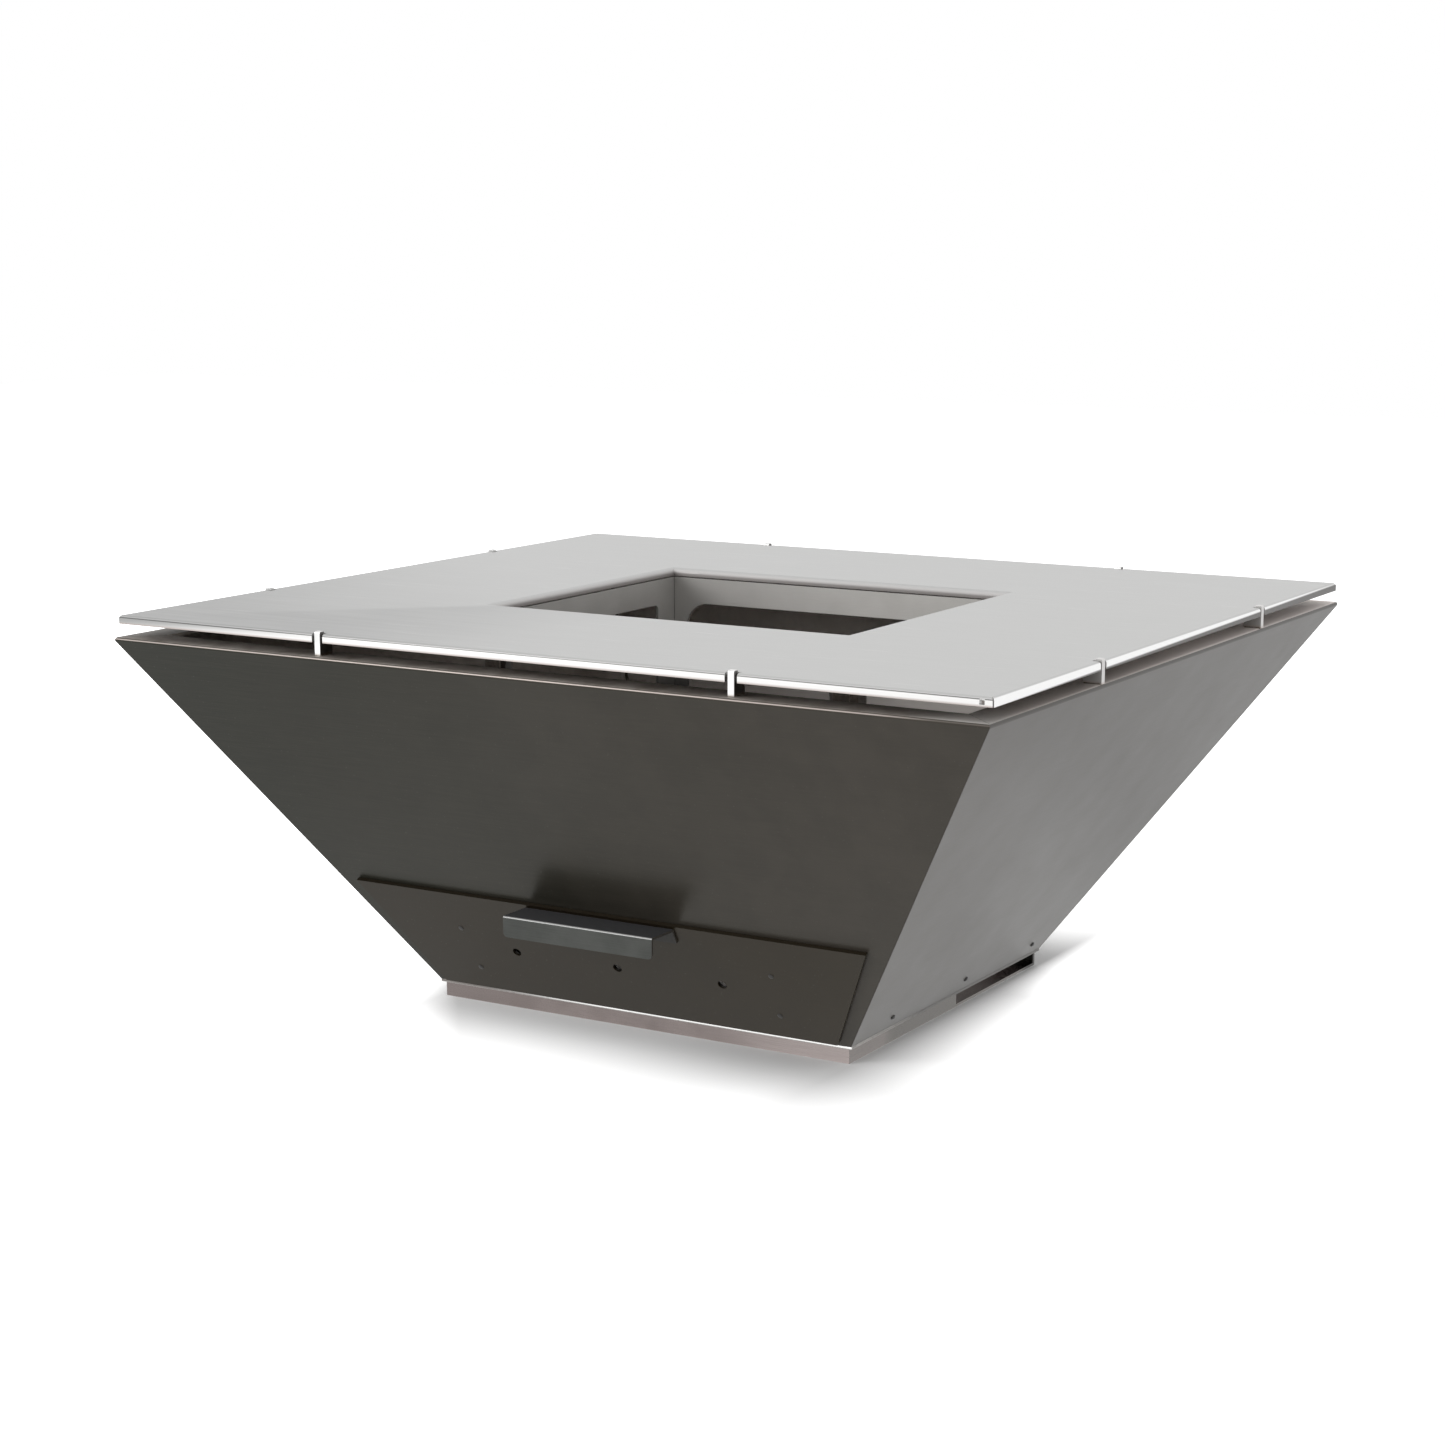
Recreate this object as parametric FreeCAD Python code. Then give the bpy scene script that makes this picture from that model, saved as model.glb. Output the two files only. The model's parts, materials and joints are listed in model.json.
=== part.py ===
"""Sheet-steel fire pit: a four-sided bowl on a low plinth, with a firebox, a lift-out fire grate,
an ash drawer and a lift-off cooking plate.

Millimetres. +Z is up, the drawer faces -Y, and the origin is on the ground under the centre of the rim.
"""
import FreeCAD, Part
import math
import os

from FreeCAD import Vector

# ---------------------------------------------------------------- bowl and plinth
rim_length = 1000.0          # along X, over the rounded rim
rim_width = 905.0            # along Y, over the rounded rim
foot_length = 500.0
foot_width = 442.0
foot_forward = 14.5          # the foot's centre lies this far in front of the rim's centre
bowl_height = 385.0          # underside of the floor plate to the top of the rim
bowl_sheet = 3.0
rim_flange = 34.0            # inward reach of the rim's flange, square to the wall
rim_bend = 3.0               # outside radius of the bend between wall and flange
plinth_height = 16.0
plinth_inset = 2.0           # plinth face behind the edge of the foot
plinth_sheet = 3.0
plinth_flange = 25.0         # width of the flange that lies on the ground
plinth_slot_length = 194.0   # air slot in each side of the plinth, over its full height
plinth_slot_post = 4.5       # plinth's rear face to the slot's end
floor_sheet = 3.0
floor_vent_radius = 12.0
floor_vent_pitch_x = 90.0
floor_vent_pitch_y = 150.0
floor_vent_columns = 4
floor_vent_rows = 2

# ---------------------------------------------------------------- floor angles and their screws
angle_sheet = 2.5
angle_floor_leg = 20.0
angle_wall_leg = 28.0
side_angle_end_gap = 25.0    # angle's end to the edge of the foot, each end
back_angle_end_gap = 60.0
side_screw_pitch = 167.0
back_screw_pitch = 150.0
screw_height = 18.0          # up the wall from its lower edge to the screws
screw_radius = 1.5
screw_head_radius = 2.85
screw_head_height = 1.65
screw_head_round = 1.3       # radius round the head's edge
screw_socket_flats = 2.0
screw_socket_depth = 1.0
screw_hole_clearance = 0.15
nut_across_flats = 5.5
nut_height = 2.4
nut_thread_clearance = 0.05
screw_past_nut = 1.0

# ---------------------------------------------------------------- cooking plate and its lugs
plate_length = 1000.0
plate_width = 892.0
plate_sheet = 4.0
plate_lip = 9.0              # height of the folded edge, sheet included
plate_bend = 3.5
hole_bend = 6.0
plate_gap = 13.0             # rim to the underside of the folded edge
hole_length = 430.0
hole_width = 366.0
corner_slit = 1.2            # open seam between two folded edges
corner_slit_depth = 6.0      # from the corner, along the diagonal
drip_slot_size = 5.0         # small square slot in the front edge, beside the right corner
drip_slot_from_corner = 8.5
drip_slot_below_top = 2.0
lug_thickness = 7.0
lug_finger_depth = 7.5
lug_seat_depth = 12.0
lug_above_plate = 2.2
lug_chamfer = 1.2
lug_spacing_front = 476.0    # between the two lugs of the front and back edges
lug_spacing_side = 420.0     # between the two lugs of the left and right edges
lug_side_clearance = 3.0     # lug to notch, each side
lug_end_clearance = 1.5

# ---------------------------------------------------------------- firebox
firebox_sheet = 3.0
firebox_gap = 1.0            # top of the firebox to the underside of the plate's inner lip
firebox_above_floor = 100.0  # its lower edge above the floor plate
window_top_drop = 40.0       # top of the windows below the top of the cooking plate
sill_above_floor = 172.0
long_window_post = 18.0      # wall left beside the window, front and back walls
long_window_radius = 27.0
end_window_post = 36.0       # the same, left and right walls
end_window_radius = 6.0
leg_width = 19.0
leg_sheet = 3.0
leg_below_top = 12.0         # top of the legs below the top of the firebox
ledge_width = 14.0
ledge_height = 6.0
ledge_above_bottom = 6.0     # underside of the ledge above the firebox's lower edge

# ---------------------------------------------------------------- fire grate
grate_clearance = 5.0        # grate to firebox, each side
grate_frame_thickness = 6.0
grate_height = 12.0
grate_bar_radius = 5.0
grate_bar_count = 13

# ---------------------------------------------------------------- ash drawer
tray_sheet = 2.0
tray_leg_gap = 7.0           # tray's sides to the firebox's legs
tray_back_gap = 2.0          # tray's rear face to the front edges of the rear legs
tray_firebox_gap = 6.0       # tray's upper edge to the firebox's lower edge
tray_lift = 0.5              # tray above its runners
tray_side_gap = 0.8          # tray to the upright leg of its runner
tray_notch_clearance = 0.5   # tray to the notch in the drawer front's lower return
opening_side_clearance = 3.0
opening_top_clearance = 4.0
runner_sheet = 2.5
runner_width = 23.0
runner_height = 22.0
runner_front_gap = 10.0      # runners behind the foot's front edge
runner_past_tray = 5.0       # runners behind the tray's rear face
drawer_front_sheet = 2.0
drawer_front_proud = 5.0     # its face in front of the bowl's wall
drawer_front_gap = 0.5       # its returns to the bowl's wall
drawer_front_bottom = 7.0    # height of its lower edge on the wall, above the underside of the floor
drawer_front_height = 116.5
drawer_front_margin_top = 25.0     # to the bowl's corner, along X
drawer_front_margin_bottom = 14.5
air_hole_radius = 5.0
air_hole_pitch = 125.0
air_hole_count = 3
air_hole_height = 53.5       # above the drawer front's lower edge
rivet_radius = 1.6
rivet_head_radius = 3.0
rivet_head_height = 0.9
rivet_tail_radius = 2.5
rivet_hole_clearance = 0.1
front_rivet_lower = 26.0     # above the drawer front's lower edge
front_rivet_upper = 74.0
front_rivet_lower_inset = 12.0     # from the tray's sides
front_rivet_upper_inset = 7.0
handle_length = 178.0
handle_sheet = 2.5
handle_reach = 40.0          # drawer front to the face of the grip
handle_grip_height = 22.0
handle_drop = 3.0            # shelf below the drawer front's upper edge
handle_leg = 17.0
handle_bend = 2.4
handle_corner_radius = 5.0
handle_rivet_inset = 29.0    # from the handle's ends
stop_sheet = 3.0
stop_height = 30.0
stop_above_tray_bottom = 39.0
stop_flange = 14.0
stop_from_back = 15.0        # stop's front face to the tray's rear face
stop_play = 1.0              # stop to the firebox's leg with the drawer open

cut_past = 1.0               # how far a cutter runs past the faces that it opens
near = 0.01                  # points closer than this are the same point

# ---------------------------------------------------------------- levels and places worked out from the above
floor_top = plinth_height + floor_sheet
rim_z = plinth_height + bowl_height
plate_bottom = rim_z + plate_gap
plate_top = plate_bottom + plate_lip
seat_z = plate_top - plate_sheet
firebox_top = plate_bottom - firebox_gap
firebox_bottom = floor_top + firebox_above_floor
window_top = plate_top - window_top_drop
window_sill = floor_top + sill_above_floor
ledge_top = firebox_bottom + ledge_above_bottom + ledge_height
foot_front = -foot_forward - foot_width / 2
foot_back = -foot_forward + foot_width / 2
firebox_half_x = hole_length / 2 + firebox_sheet
firebox_half_y = hole_width / 2 + firebox_sheet
leg_inner_x = firebox_half_x + leg_sheet - leg_width
leg_inner_y = firebox_half_y + leg_sheet - leg_width
leg_top = firebox_top - leg_below_top
plate_notch_width = lug_thickness + 2 * lug_side_clearance
plate_notch_depth = lug_finger_depth + lug_end_clearance
grate_half_x = hole_length / 2 - grate_clearance
grate_half_y = hole_width / 2 - grate_clearance
tray_half = leg_inner_x - tray_leg_gap
tray_back = leg_inner_y - tray_back_gap
tray_bottom = floor_top + runner_sheet + tray_lift
tray_top = firebox_bottom - tray_firebox_gap
stop_reach = tray_leg_gap + leg_width
stop_front = tray_back - stop_from_back
drawer_travel = stop_front + leg_inner_y - stop_play

SIDES = ("front", "right", "back", "left")
UP = Vector(0, 0, 1)


# ---------------------------------------------------------------- shape helpers
def flat_face(points):
    return Part.Face(Part.makePolygon(points + points[:1]))


def prism(lower, upper):
    """Closed convex solid between two outlines with matching corners."""
    middle = Vector()
    for point in lower + upper:
        middle = middle + point
    middle = middle * (1.0 / (len(lower) + len(upper)))
    outlines = [lower, upper]
    for i in range(len(lower)):
        j = (i + 1) % len(lower)
        outlines.append([lower[i], lower[j], upper[j], upper[i]])
    faces = []
    for outline in outlines:
        normal = (outline[1] - outline[0]).cross(outline[2] - outline[0])
        outward = normal.dot(outline[0] - middle) > 0
        faces.append(flat_face(outline if outward else outline[::-1]))
    return Part.Solid(Part.Shell(faces))


def box(low, high):
    return Part.makeBox(high[0] - low[0], high[1] - low[1], high[2] - low[2], Vector(*low))


def rect(half_x, front, back, z):
    """Corners of a level rectangle, from the front left one, anticlockwise from above."""
    return [Vector(-half_x, front, z), Vector(half_x, front, z),
            Vector(half_x, back, z), Vector(-half_x, back, z)]


def ring_side(side, outer_low, inner_low, outer_high, inner_high):
    """One mitred side of a four-sided ring."""
    i = SIDES.index(side)
    j = (i + 1) % 4
    lower = [outer_low[i], outer_low[j], inner_low[j], inner_low[i]]
    upper = [outer_high[i], outer_high[j], inner_high[j], inner_high[i]]
    return prism(lower, upper)


def level_ring_side(side, outer, inner, low, high):
    """Mitred side of an upright ring. outer and inner are (half_x, front, back)."""
    return ring_side(side, rect(*outer, low), rect(*inner, low), rect(*outer, high), rect(*inner, high))


def edge_between(shape, start, end):
    for edge in shape.Edges:
        ends = [vertex.Point for vertex in edge.Vertexes]
        if len(ends) == 2:
            if min(ends[0].distanceToPoint(start), ends[1].distanceToPoint(start)) < near:
                if min(ends[0].distanceToPoint(end), ends[1].distanceToPoint(end)) < near:
                    return edge
    raise ValueError("no edge there")


def edges_along(shape, direction):
    """Straight edges that run along a direction."""
    found = []
    for edge in shape.Edges:
        if len(edge.Vertexes) == 2:
            run = edge.Vertexes[1].Point - edge.Vertexes[0].Point
            if run.cross(direction).Length < near:
                found.append(edge)
    return found


def extrude_yz(points, low_x, high_x):
    """Solid of a (y, z) outline between two X planes."""
    face = flat_face([Vector(low_x, y, z) for y, z in points])
    return face.extrude(Vector(high_x - low_x, 0, 0))


def turned(shape, degrees, place):
    """Copy of a shape turned about Z, then moved."""
    copy = shape.copy()
    copy.rotate(Vector(), UP, degrees)
    copy.translate(place)
    return copy


def mirrored_x(shape):
    return shape.mirror(Vector(), Vector(1, 0, 0))


def export(node, shape):
    solids = shape.Solids
    result = solids[0] if len(solids) == 1 else Part.makeCompound(solids)
    result.exportStep("parts/%s.step" % node)


# ---------------------------------------------------------------- the bowl's sloping faces
def run_to_corner(run):
    """Level run of a wall to the sharp corner of its rim, from the run to the rounded rim."""
    straight = run - rim_bend
    slope = math.sqrt(straight ** 2 + bowl_height * (bowl_height - 2 * rim_bend))
    half_angle = (slope - straight) / bowl_height
    return straight + rim_bend / half_angle


side_run = run_to_corner((rim_length - foot_length) / 2)
front_run = run_to_corner(foot_front + rim_width / 2)
back_run = run_to_corner(rim_width / 2 - foot_back)


def slant(run):
    """Level thickness of a sloping sheet per unit of its real thickness."""
    return math.hypot(run, bowl_height) / bowl_height


def bowl_rect(z, inset=0.0):
    """Corners of the bowl's outside at a height, or of a surface set in from it by inset."""
    share = (z - plinth_height) / bowl_height
    half_x = foot_length / 2 + side_run * share - inset * slant(side_run)
    front = foot_front - front_run * share + inset * slant(front_run)
    back = foot_back + back_run * share - inset * slant(back_run)
    return rect(half_x, front, back, z)


front_normal = Vector(0, -bowl_height, -front_run).normalize()
side_normal = Vector(bowl_height, 0, -side_run).normalize()
back_normal = Vector(0, bowl_height, -back_run).normalize()


def on_front(x, z, proud=0.0):
    """Point on the front wall's outside at height z, moved out square to the wall."""
    front = bowl_rect(z)[0].y
    return Vector(x, front, z) + front_normal * proud


def front_y(z, proud):
    """Y of the surface that stands proud of the front wall, at height z."""
    return bowl_rect(z, -proud)[0].y


def bowl_wall(side):
    below_rim = rim_z - bowl_sheet
    sheet = ring_side(side, bowl_rect(floor_top), bowl_rect(floor_top, bowl_sheet),
                      bowl_rect(below_rim), bowl_rect(below_rim, bowl_sheet))
    flange = ring_side(side, bowl_rect(below_rim), bowl_rect(below_rim, rim_flange),
                       bowl_rect(rim_z), bowl_rect(rim_z, rim_flange))
    wall = sheet.fuse(flange).removeSplitter()
    corners = bowl_rect(rim_z)
    i = SIDES.index(side)
    bend = edge_between(wall, corners[i], corners[(i + 1) % 4])
    return wall.makeFillet(rim_bend, [bend])


# ---------------------------------------------------------------- plinth and floor
def plinth_rects():
    half_x = foot_length / 2 - plinth_inset
    front = foot_front + plinth_inset
    back = foot_back - plinth_inset
    outer = (half_x, front, back)
    web = (half_x - plinth_sheet, front + plinth_sheet, back - plinth_sheet)
    flange = (half_x - plinth_flange, front + plinth_flange, back - plinth_flange)
    return outer, web, flange


def plinth_strip(side):
    outer, web, flange = plinth_rects()
    upright = level_ring_side(side, outer, web, plinth_sheet, plinth_height)
    level = level_ring_side(side, outer, flange, 0.0, plinth_sheet)
    strip = upright.fuse(level).removeSplitter()
    if side in ("left", "right"):
        slot_end = outer[2] - plinth_slot_post
        strip = strip.cut(box((-foot_length, slot_end - plinth_slot_length, plinth_sheet),
                              (foot_length, slot_end, plinth_height)))
    return strip


def floor_plate():
    corners = bowl_rect(floor_top)
    plate = box((corners[0].x, corners[0].y, plinth_height), (corners[2].x, corners[2].y, floor_top))
    for column in range(floor_vent_columns):
        for row in range(floor_vent_rows):
            x = (column - (floor_vent_columns - 1) / 2) * floor_vent_pitch_x
            y = (row - (floor_vent_rows - 1) / 2) * floor_vent_pitch_y - foot_forward
            vent = Part.makeCylinder(floor_vent_radius, floor_sheet, Vector(x, y, plinth_height))
            plate = plate.cut(vent)
    return plate


# ---------------------------------------------------------------- floor angles, screws and nuts
def angle_outline(corner, level, slope):
    """Outline of a bent angle in its own plane, from unit directions along its two legs."""
    sine = level.cross(slope).Length
    inner = corner + (level + slope) * (angle_sheet / sine)
    along_level = corner + level * angle_floor_leg
    along_slope = corner + slope * angle_wall_leg
    level_up = slope - level * slope.dot(level)
    slope_in = level - slope * slope.dot(level)
    level_up.normalize()
    slope_in.normalize()
    return [corner, along_level, along_level + level_up * angle_sheet, inner,
            along_slope + slope_in * angle_sheet, along_slope]


def side_angle():
    """Angle along the right wall."""
    corner = bowl_rect(floor_top, bowl_sheet)[1]
    corner = Vector(corner.x, foot_front + side_angle_end_gap, corner.z)
    slope = Vector(side_run, 0, bowl_height).normalize()
    outline = angle_outline(corner, Vector(-1, 0, 0), slope)
    return flat_face(outline).extrude(Vector(0, foot_width - 2 * side_angle_end_gap, 0))


def back_angle():
    corner = bowl_rect(floor_top, bowl_sheet)[2]
    corner = Vector(back_angle_end_gap - foot_length / 2, corner.y, corner.z)
    slope = Vector(0, back_run, bowl_height).normalize()
    outline = angle_outline(corner, Vector(0, -1, 0), slope)
    return flat_face(outline).extrude(Vector(foot_length - 2 * back_angle_end_gap, 0, 0))


def screw_sites():
    """(place on the wall's outside, outward normal) of every floor screw, by side."""
    sites = {"right": [], "left": [], "back": []}
    low = bowl_rect(floor_top)
    side_up = Vector(side_run, 0, bowl_height).normalize() * screw_height
    back_up = Vector(0, back_run, bowl_height).normalize() * screw_height
    for step in (-1, 0, 1):
        place = Vector(low[1].x, step * side_screw_pitch, floor_top) + side_up
        sites["right"].append((place, side_normal))
        sites["left"].append((Vector(-place.x, place.y, place.z),
                              Vector(-side_normal.x, side_normal.y, side_normal.z)))
        place = Vector(step * back_screw_pitch, low[2].y, floor_top) + back_up
        sites["back"].append((place, back_normal))
    return sites


def screw_holes(side):
    radius = screw_radius + screw_hole_clearance
    depth = bowl_sheet + angle_sheet
    holes = []
    for place, normal in screw_sites()[side]:
        start = place + normal * cut_past
        holes.append(Part.makeCylinder(radius, depth + 2 * cut_past, start, normal * -1))
    return Part.makeCompound(holes)


def screw(place, normal):
    """Button-head screw, seated on the wall."""
    shank = bowl_sheet + angle_sheet + nut_height + screw_past_nut
    body = Part.makeCylinder(screw_radius, shank, place, normal * -1)
    head = Part.makeCylinder(screw_head_radius, screw_head_height, place, normal)
    top = place + normal * screw_head_height
    rim = [edge for edge in head.Edges if edge.CenterOfMass.distanceToPoint(top) < near]
    head = head.makeFillet(screw_head_round, rim)
    socket_floor = place + normal * (screw_head_height - screw_socket_depth)
    socket = hexagon(socket_floor, normal, screw_socket_flats / 2, screw_head_height)
    return body.fuse(head).removeSplitter().cut(socket)


def hexagon(place, axis, flats_radius, height):
    """Six-sided prism on a plane through place, growing along axis."""
    across = axis.cross(UP).normalize()
    upward = axis.cross(across)
    corner_radius = flats_radius / math.cos(math.pi / 6)
    points = []
    for step in range(6):
        turn = step * math.pi / 3
        spoke = across * math.cos(turn) + upward * math.sin(turn)
        points.append(place + spoke * corner_radius)
    return flat_face(points).extrude(axis * height)


def nut(place, normal):
    seat = place - normal * (bowl_sheet + angle_sheet)
    blank = hexagon(seat, normal * -1, nut_across_flats / 2, nut_height)
    hole = Part.makeCylinder(screw_radius + nut_thread_clearance, nut_height + 2 * cut_past,
                             seat + normal * cut_past, normal * -1)
    return blank.cut(hole)


# ---------------------------------------------------------------- cooking plate and lugs
def lug_sites():
    """(name, turn about Z, place of the plate's edge) of each lug."""
    half_front = lug_spacing_front / 2
    half_side = lug_spacing_side / 2
    edge_x = plate_length / 2
    edge_y = plate_width / 2
    sites = []
    for number, step in ((1, -1), (2, 1)):
        sites.append(("front_%d" % number, 0, Vector(step * half_front, -edge_y, 0)))
        sites.append(("right_%d" % number, 90, Vector(edge_x, step * half_side, 0)))
        sites.append(("back_%d" % number, 180, Vector(-step * half_front, edge_y, 0)))
        sites.append(("left_%d" % number, 270, Vector(-edge_x, -step * half_side, 0)))
    return sites


def lug():
    """Stepped lug: its finger stands in a notch of the plate's edge, its seat carries the plate."""
    tip = plate_top + lug_above_plate
    outline = [(0, rim_z), (0, tip - lug_chamfer), (lug_chamfer, tip), (lug_finger_depth - lug_chamfer, tip),
               (lug_finger_depth, tip - lug_chamfer), (lug_finger_depth, seat_z),
               (lug_finger_depth + lug_seat_depth, seat_z), (lug_finger_depth + lug_seat_depth, rim_z)]
    return extrude_yz(outline, -lug_thickness / 2, lug_thickness / 2)


def cooking_plate():
    """Folded sheet with lips turned down at its outside and round its central hole."""
    half_x = plate_length / 2
    half_y = plate_width / 2
    hole_x = hole_length / 2
    hole_y = hole_width / 2
    block = box((-half_x, -half_y, plate_bottom), (half_x, half_y, plate_top))
    hole = box((-hole_x, -hole_y, plate_bottom), (hole_x, hole_y, plate_top))
    plate = block.cut(hole)
    outline = rect(half_x, -half_y, half_y, plate_top)
    hole_outline = rect(hole_x, -hole_y, hole_y, plate_top)
    for corners, radius in ((outline, plate_bend), (hole_outline, hole_bend)):
        bends = [edge_between(plate, corners[i], corners[(i + 1) % 4]) for i in range(4)]
        plate = plate.makeFillet(radius, bends)
    under = box((plate_sheet - half_x, plate_sheet - half_y, plate_bottom),
                (half_x - plate_sheet, half_y - plate_sheet, seat_z))
    inner_lip = box((-hole_x - plate_sheet, -hole_y - plate_sheet, plate_bottom),
                    (hole_x + plate_sheet, hole_y + plate_sheet, seat_z))
    plate = plate.cut(under.cut(inner_lip))
    half_notch = plate_notch_width / 2
    notch = box((-half_notch, -cut_past, plate_bottom), (half_notch, plate_notch_depth, plate_top))
    for _, turn, place in lug_sites():
        plate = plate.cut(turned(notch, turn, place))
    slit = box((-cut_past, -corner_slit / 2, plate_bottom), (corner_slit_depth, corner_slit / 2, plate_top))
    for turn, corner in zip((45, 135, 225, 315), rect(half_x, -half_y, half_y, 0)):
        plate = plate.cut(turned(slit, turn, corner))
    drip_x = half_x - drip_slot_from_corner
    drip_top = plate_top - drip_slot_below_top
    drip = box((drip_x - drip_slot_size, -half_y - cut_past, drip_top - drip_slot_size),
               (drip_x, plate_sheet - half_y, drip_top))
    return plate.cut(drip)


# ---------------------------------------------------------------- firebox, its legs and ledges
def firebox_wall(side):
    inner = (hole_length / 2, -hole_width / 2, hole_width / 2)
    outer = (firebox_half_x, -firebox_half_y, firebox_half_y)
    wall = level_ring_side(side, outer, inner, firebox_bottom, firebox_top)
    if side in ("front", "back"):
        half = hole_length / 2 - long_window_post
        reach = firebox_half_y * 2
        window = box((-half, 0, window_sill), (half, reach, window_top))
        window = window.makeFillet(long_window_radius, edges_along(window, Vector(0, 1, 0)))
        return wall.cut(turned(window, 0 if side == "back" else 180, Vector()))
    half = hole_width / 2 - end_window_post
    reach = firebox_half_x * 2
    window = box((0, -half, window_sill), (reach, half, window_top))
    window = window.makeFillet(end_window_radius, edges_along(window, Vector(1, 0, 0)))
    return wall.cut(turned(window, 0 if side == "right" else 180, Vector()))


def firebox_leg(x_sign, y_sign):
    """Corner angle outside the firebox that stands on the floor plate and carries two walls."""
    x = firebox_half_x + leg_sheet
    y = firebox_half_y + leg_sheet
    on_long_wall = box((x - leg_width, y - leg_sheet, floor_top), (x, y, leg_top))
    on_end_wall = box((x - leg_sheet, y - leg_width, floor_top), (x, y, leg_top))
    leg = on_long_wall.fuse(on_end_wall).removeSplitter()
    if x_sign < 0:
        leg = mirrored_x(leg)
    if y_sign < 0:
        leg = leg.mirror(Vector(), Vector(0, 1, 0))
    return leg


def grate_ledge(side):
    outer = (hole_length / 2, -hole_width / 2, hole_width / 2)
    inner = (outer[0] - ledge_width, outer[1] + ledge_width, outer[2] - ledge_width)
    return level_ring_side(side, outer, inner, ledge_top - ledge_height, ledge_top)


# ---------------------------------------------------------------- fire grate
def grate_frame():
    top = ledge_top + grate_height
    inside_x = grate_half_x - grate_frame_thickness
    inside_y = grate_half_y - grate_frame_thickness
    outer = box((-grate_half_x, -grate_half_y, ledge_top), (grate_half_x, grate_half_y, top))
    return outer.cut(box((-inside_x, -inside_y, ledge_top), (inside_x, inside_y, top)))


def grate_bars():
    inside_x = grate_half_x - grate_frame_thickness
    inside_y = grate_half_y - grate_frame_thickness
    pitch = 2 * inside_x / (grate_bar_count + 1)
    bars = []
    for number in range(grate_bar_count):
        x = (number + 1) * pitch - inside_x
        foot = Vector(x, -inside_y, ledge_top + grate_height / 2)
        bars.append(Part.makeCylinder(grate_bar_radius, 2 * inside_y, foot, Vector(0, 1, 0)))
    return Part.makeCompound(bars)


# ---------------------------------------------------------------- ash drawer
front_low = plinth_height + drawer_front_bottom
front_high = front_low + drawer_front_height
front_back_face = drawer_front_proud - drawer_front_sheet


def drawer_front_outline(proud, inset=0.0):
    """Corners of the drawer front's outline on the surface that stands proud of the wall."""
    low = front_low + inset
    high = front_high - inset
    half_low = bowl_rect(front_low)[1].x - drawer_front_margin_bottom - inset
    half_high = bowl_rect(front_high)[1].x - drawer_front_margin_top - inset
    return [on_front(-half_low, low, proud), on_front(half_low, low, proud),
            on_front(half_high, high, proud), on_front(-half_high, high, proud)]


def through_front(x, z, radius):
    """Cutter square to the front wall, through the handle's leg, the drawer front and the tray's front."""
    start = on_front(x, z, drawer_front_proud + handle_sheet + cut_past)
    depth = handle_sheet + drawer_front_sheet + tray_sheet + 2 * cut_past
    return Part.makeCylinder(radius, depth, start, front_normal * -1)


def air_holes():
    holes = []
    for number in range(air_hole_count):
        x = (number - (air_hole_count - 1) / 2) * air_hole_pitch
        holes.append(through_front(x, front_low + air_hole_height, air_hole_radius))
    return Part.makeCompound(holes)


def front_rivet_sites():
    sites = []
    for side in (-1, 1):
        sites.append((side * (tray_half - front_rivet_lower_inset), front_low + front_rivet_lower))
        sites.append((side * (tray_half - front_rivet_upper_inset), front_low + front_rivet_upper))
    return sites


def handle_rivet_sites():
    down_leg = (handle_sheet + handle_leg) / 2
    height = shelf_top() - front_normal.z * drawer_front_proud - down_leg / slant(front_run)
    x = handle_length / 2 - handle_rivet_inset
    return [(-x, height), (x, height)]


def rivet(x, z, seat, grip):
    """Rivet with its head on the surface that stands seat proud, and its tail grip behind that."""
    shank = Part.makeCylinder(rivet_radius, grip, on_front(x, z, seat), front_normal * -1)
    head = Part.makeCylinder(rivet_head_radius, rivet_head_height, on_front(x, z, seat), front_normal)
    behind = on_front(x, z, seat - grip)
    tail = Part.makeCylinder(rivet_tail_radius, rivet_head_height, behind, front_normal * -1)
    return shank.fuse([head, tail]).removeSplitter()


def rivet_holes(sites):
    return Part.makeCompound([through_front(x, z, rivet_radius + rivet_hole_clearance) for x, z in sites])


def drawer_front():
    """Shallow pan, its rim turned back towards the bowl's wall."""
    pan = prism(drawer_front_outline(drawer_front_gap), drawer_front_outline(drawer_front_proud))
    pocket = prism(drawer_front_outline(-cut_past, drawer_front_sheet),
                   drawer_front_outline(front_back_face, drawer_front_sheet))
    notch_low = tray_bottom - tray_notch_clearance
    notch = tray_block(-tray_notch_clearance, notch_low, tray_top, front_back_face, 0.0)
    pan = pan.cut([pocket, notch])
    return pan.cut([air_holes(), rivet_holes(front_rivet_sites()), rivet_holes(handle_rivet_sites())])


def tray_block(inset, base, top, proud, back):
    """Tray-shaped block with a sloping front that stands proud of the bowl's wall."""
    half = tray_half - inset
    outline = [(front_y(base, proud), base), (back, base), (back, top), (front_y(top, proud), top)]
    return extrude_yz(outline, -half, half)


def ash_tray():
    outside = tray_block(0.0, tray_bottom, tray_top, front_back_face, tray_back)
    inside = tray_block(tray_sheet, tray_bottom + tray_sheet, tray_top + cut_past,
                        front_back_face - tray_sheet, tray_back - tray_sheet)
    return outside.cut(inside).cut([air_holes(), rivet_holes(front_rivet_sites())])


def shelf_top():
    top_edge = on_front(0, front_high, drawer_front_proud)
    return top_edge.z - handle_drop


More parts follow.
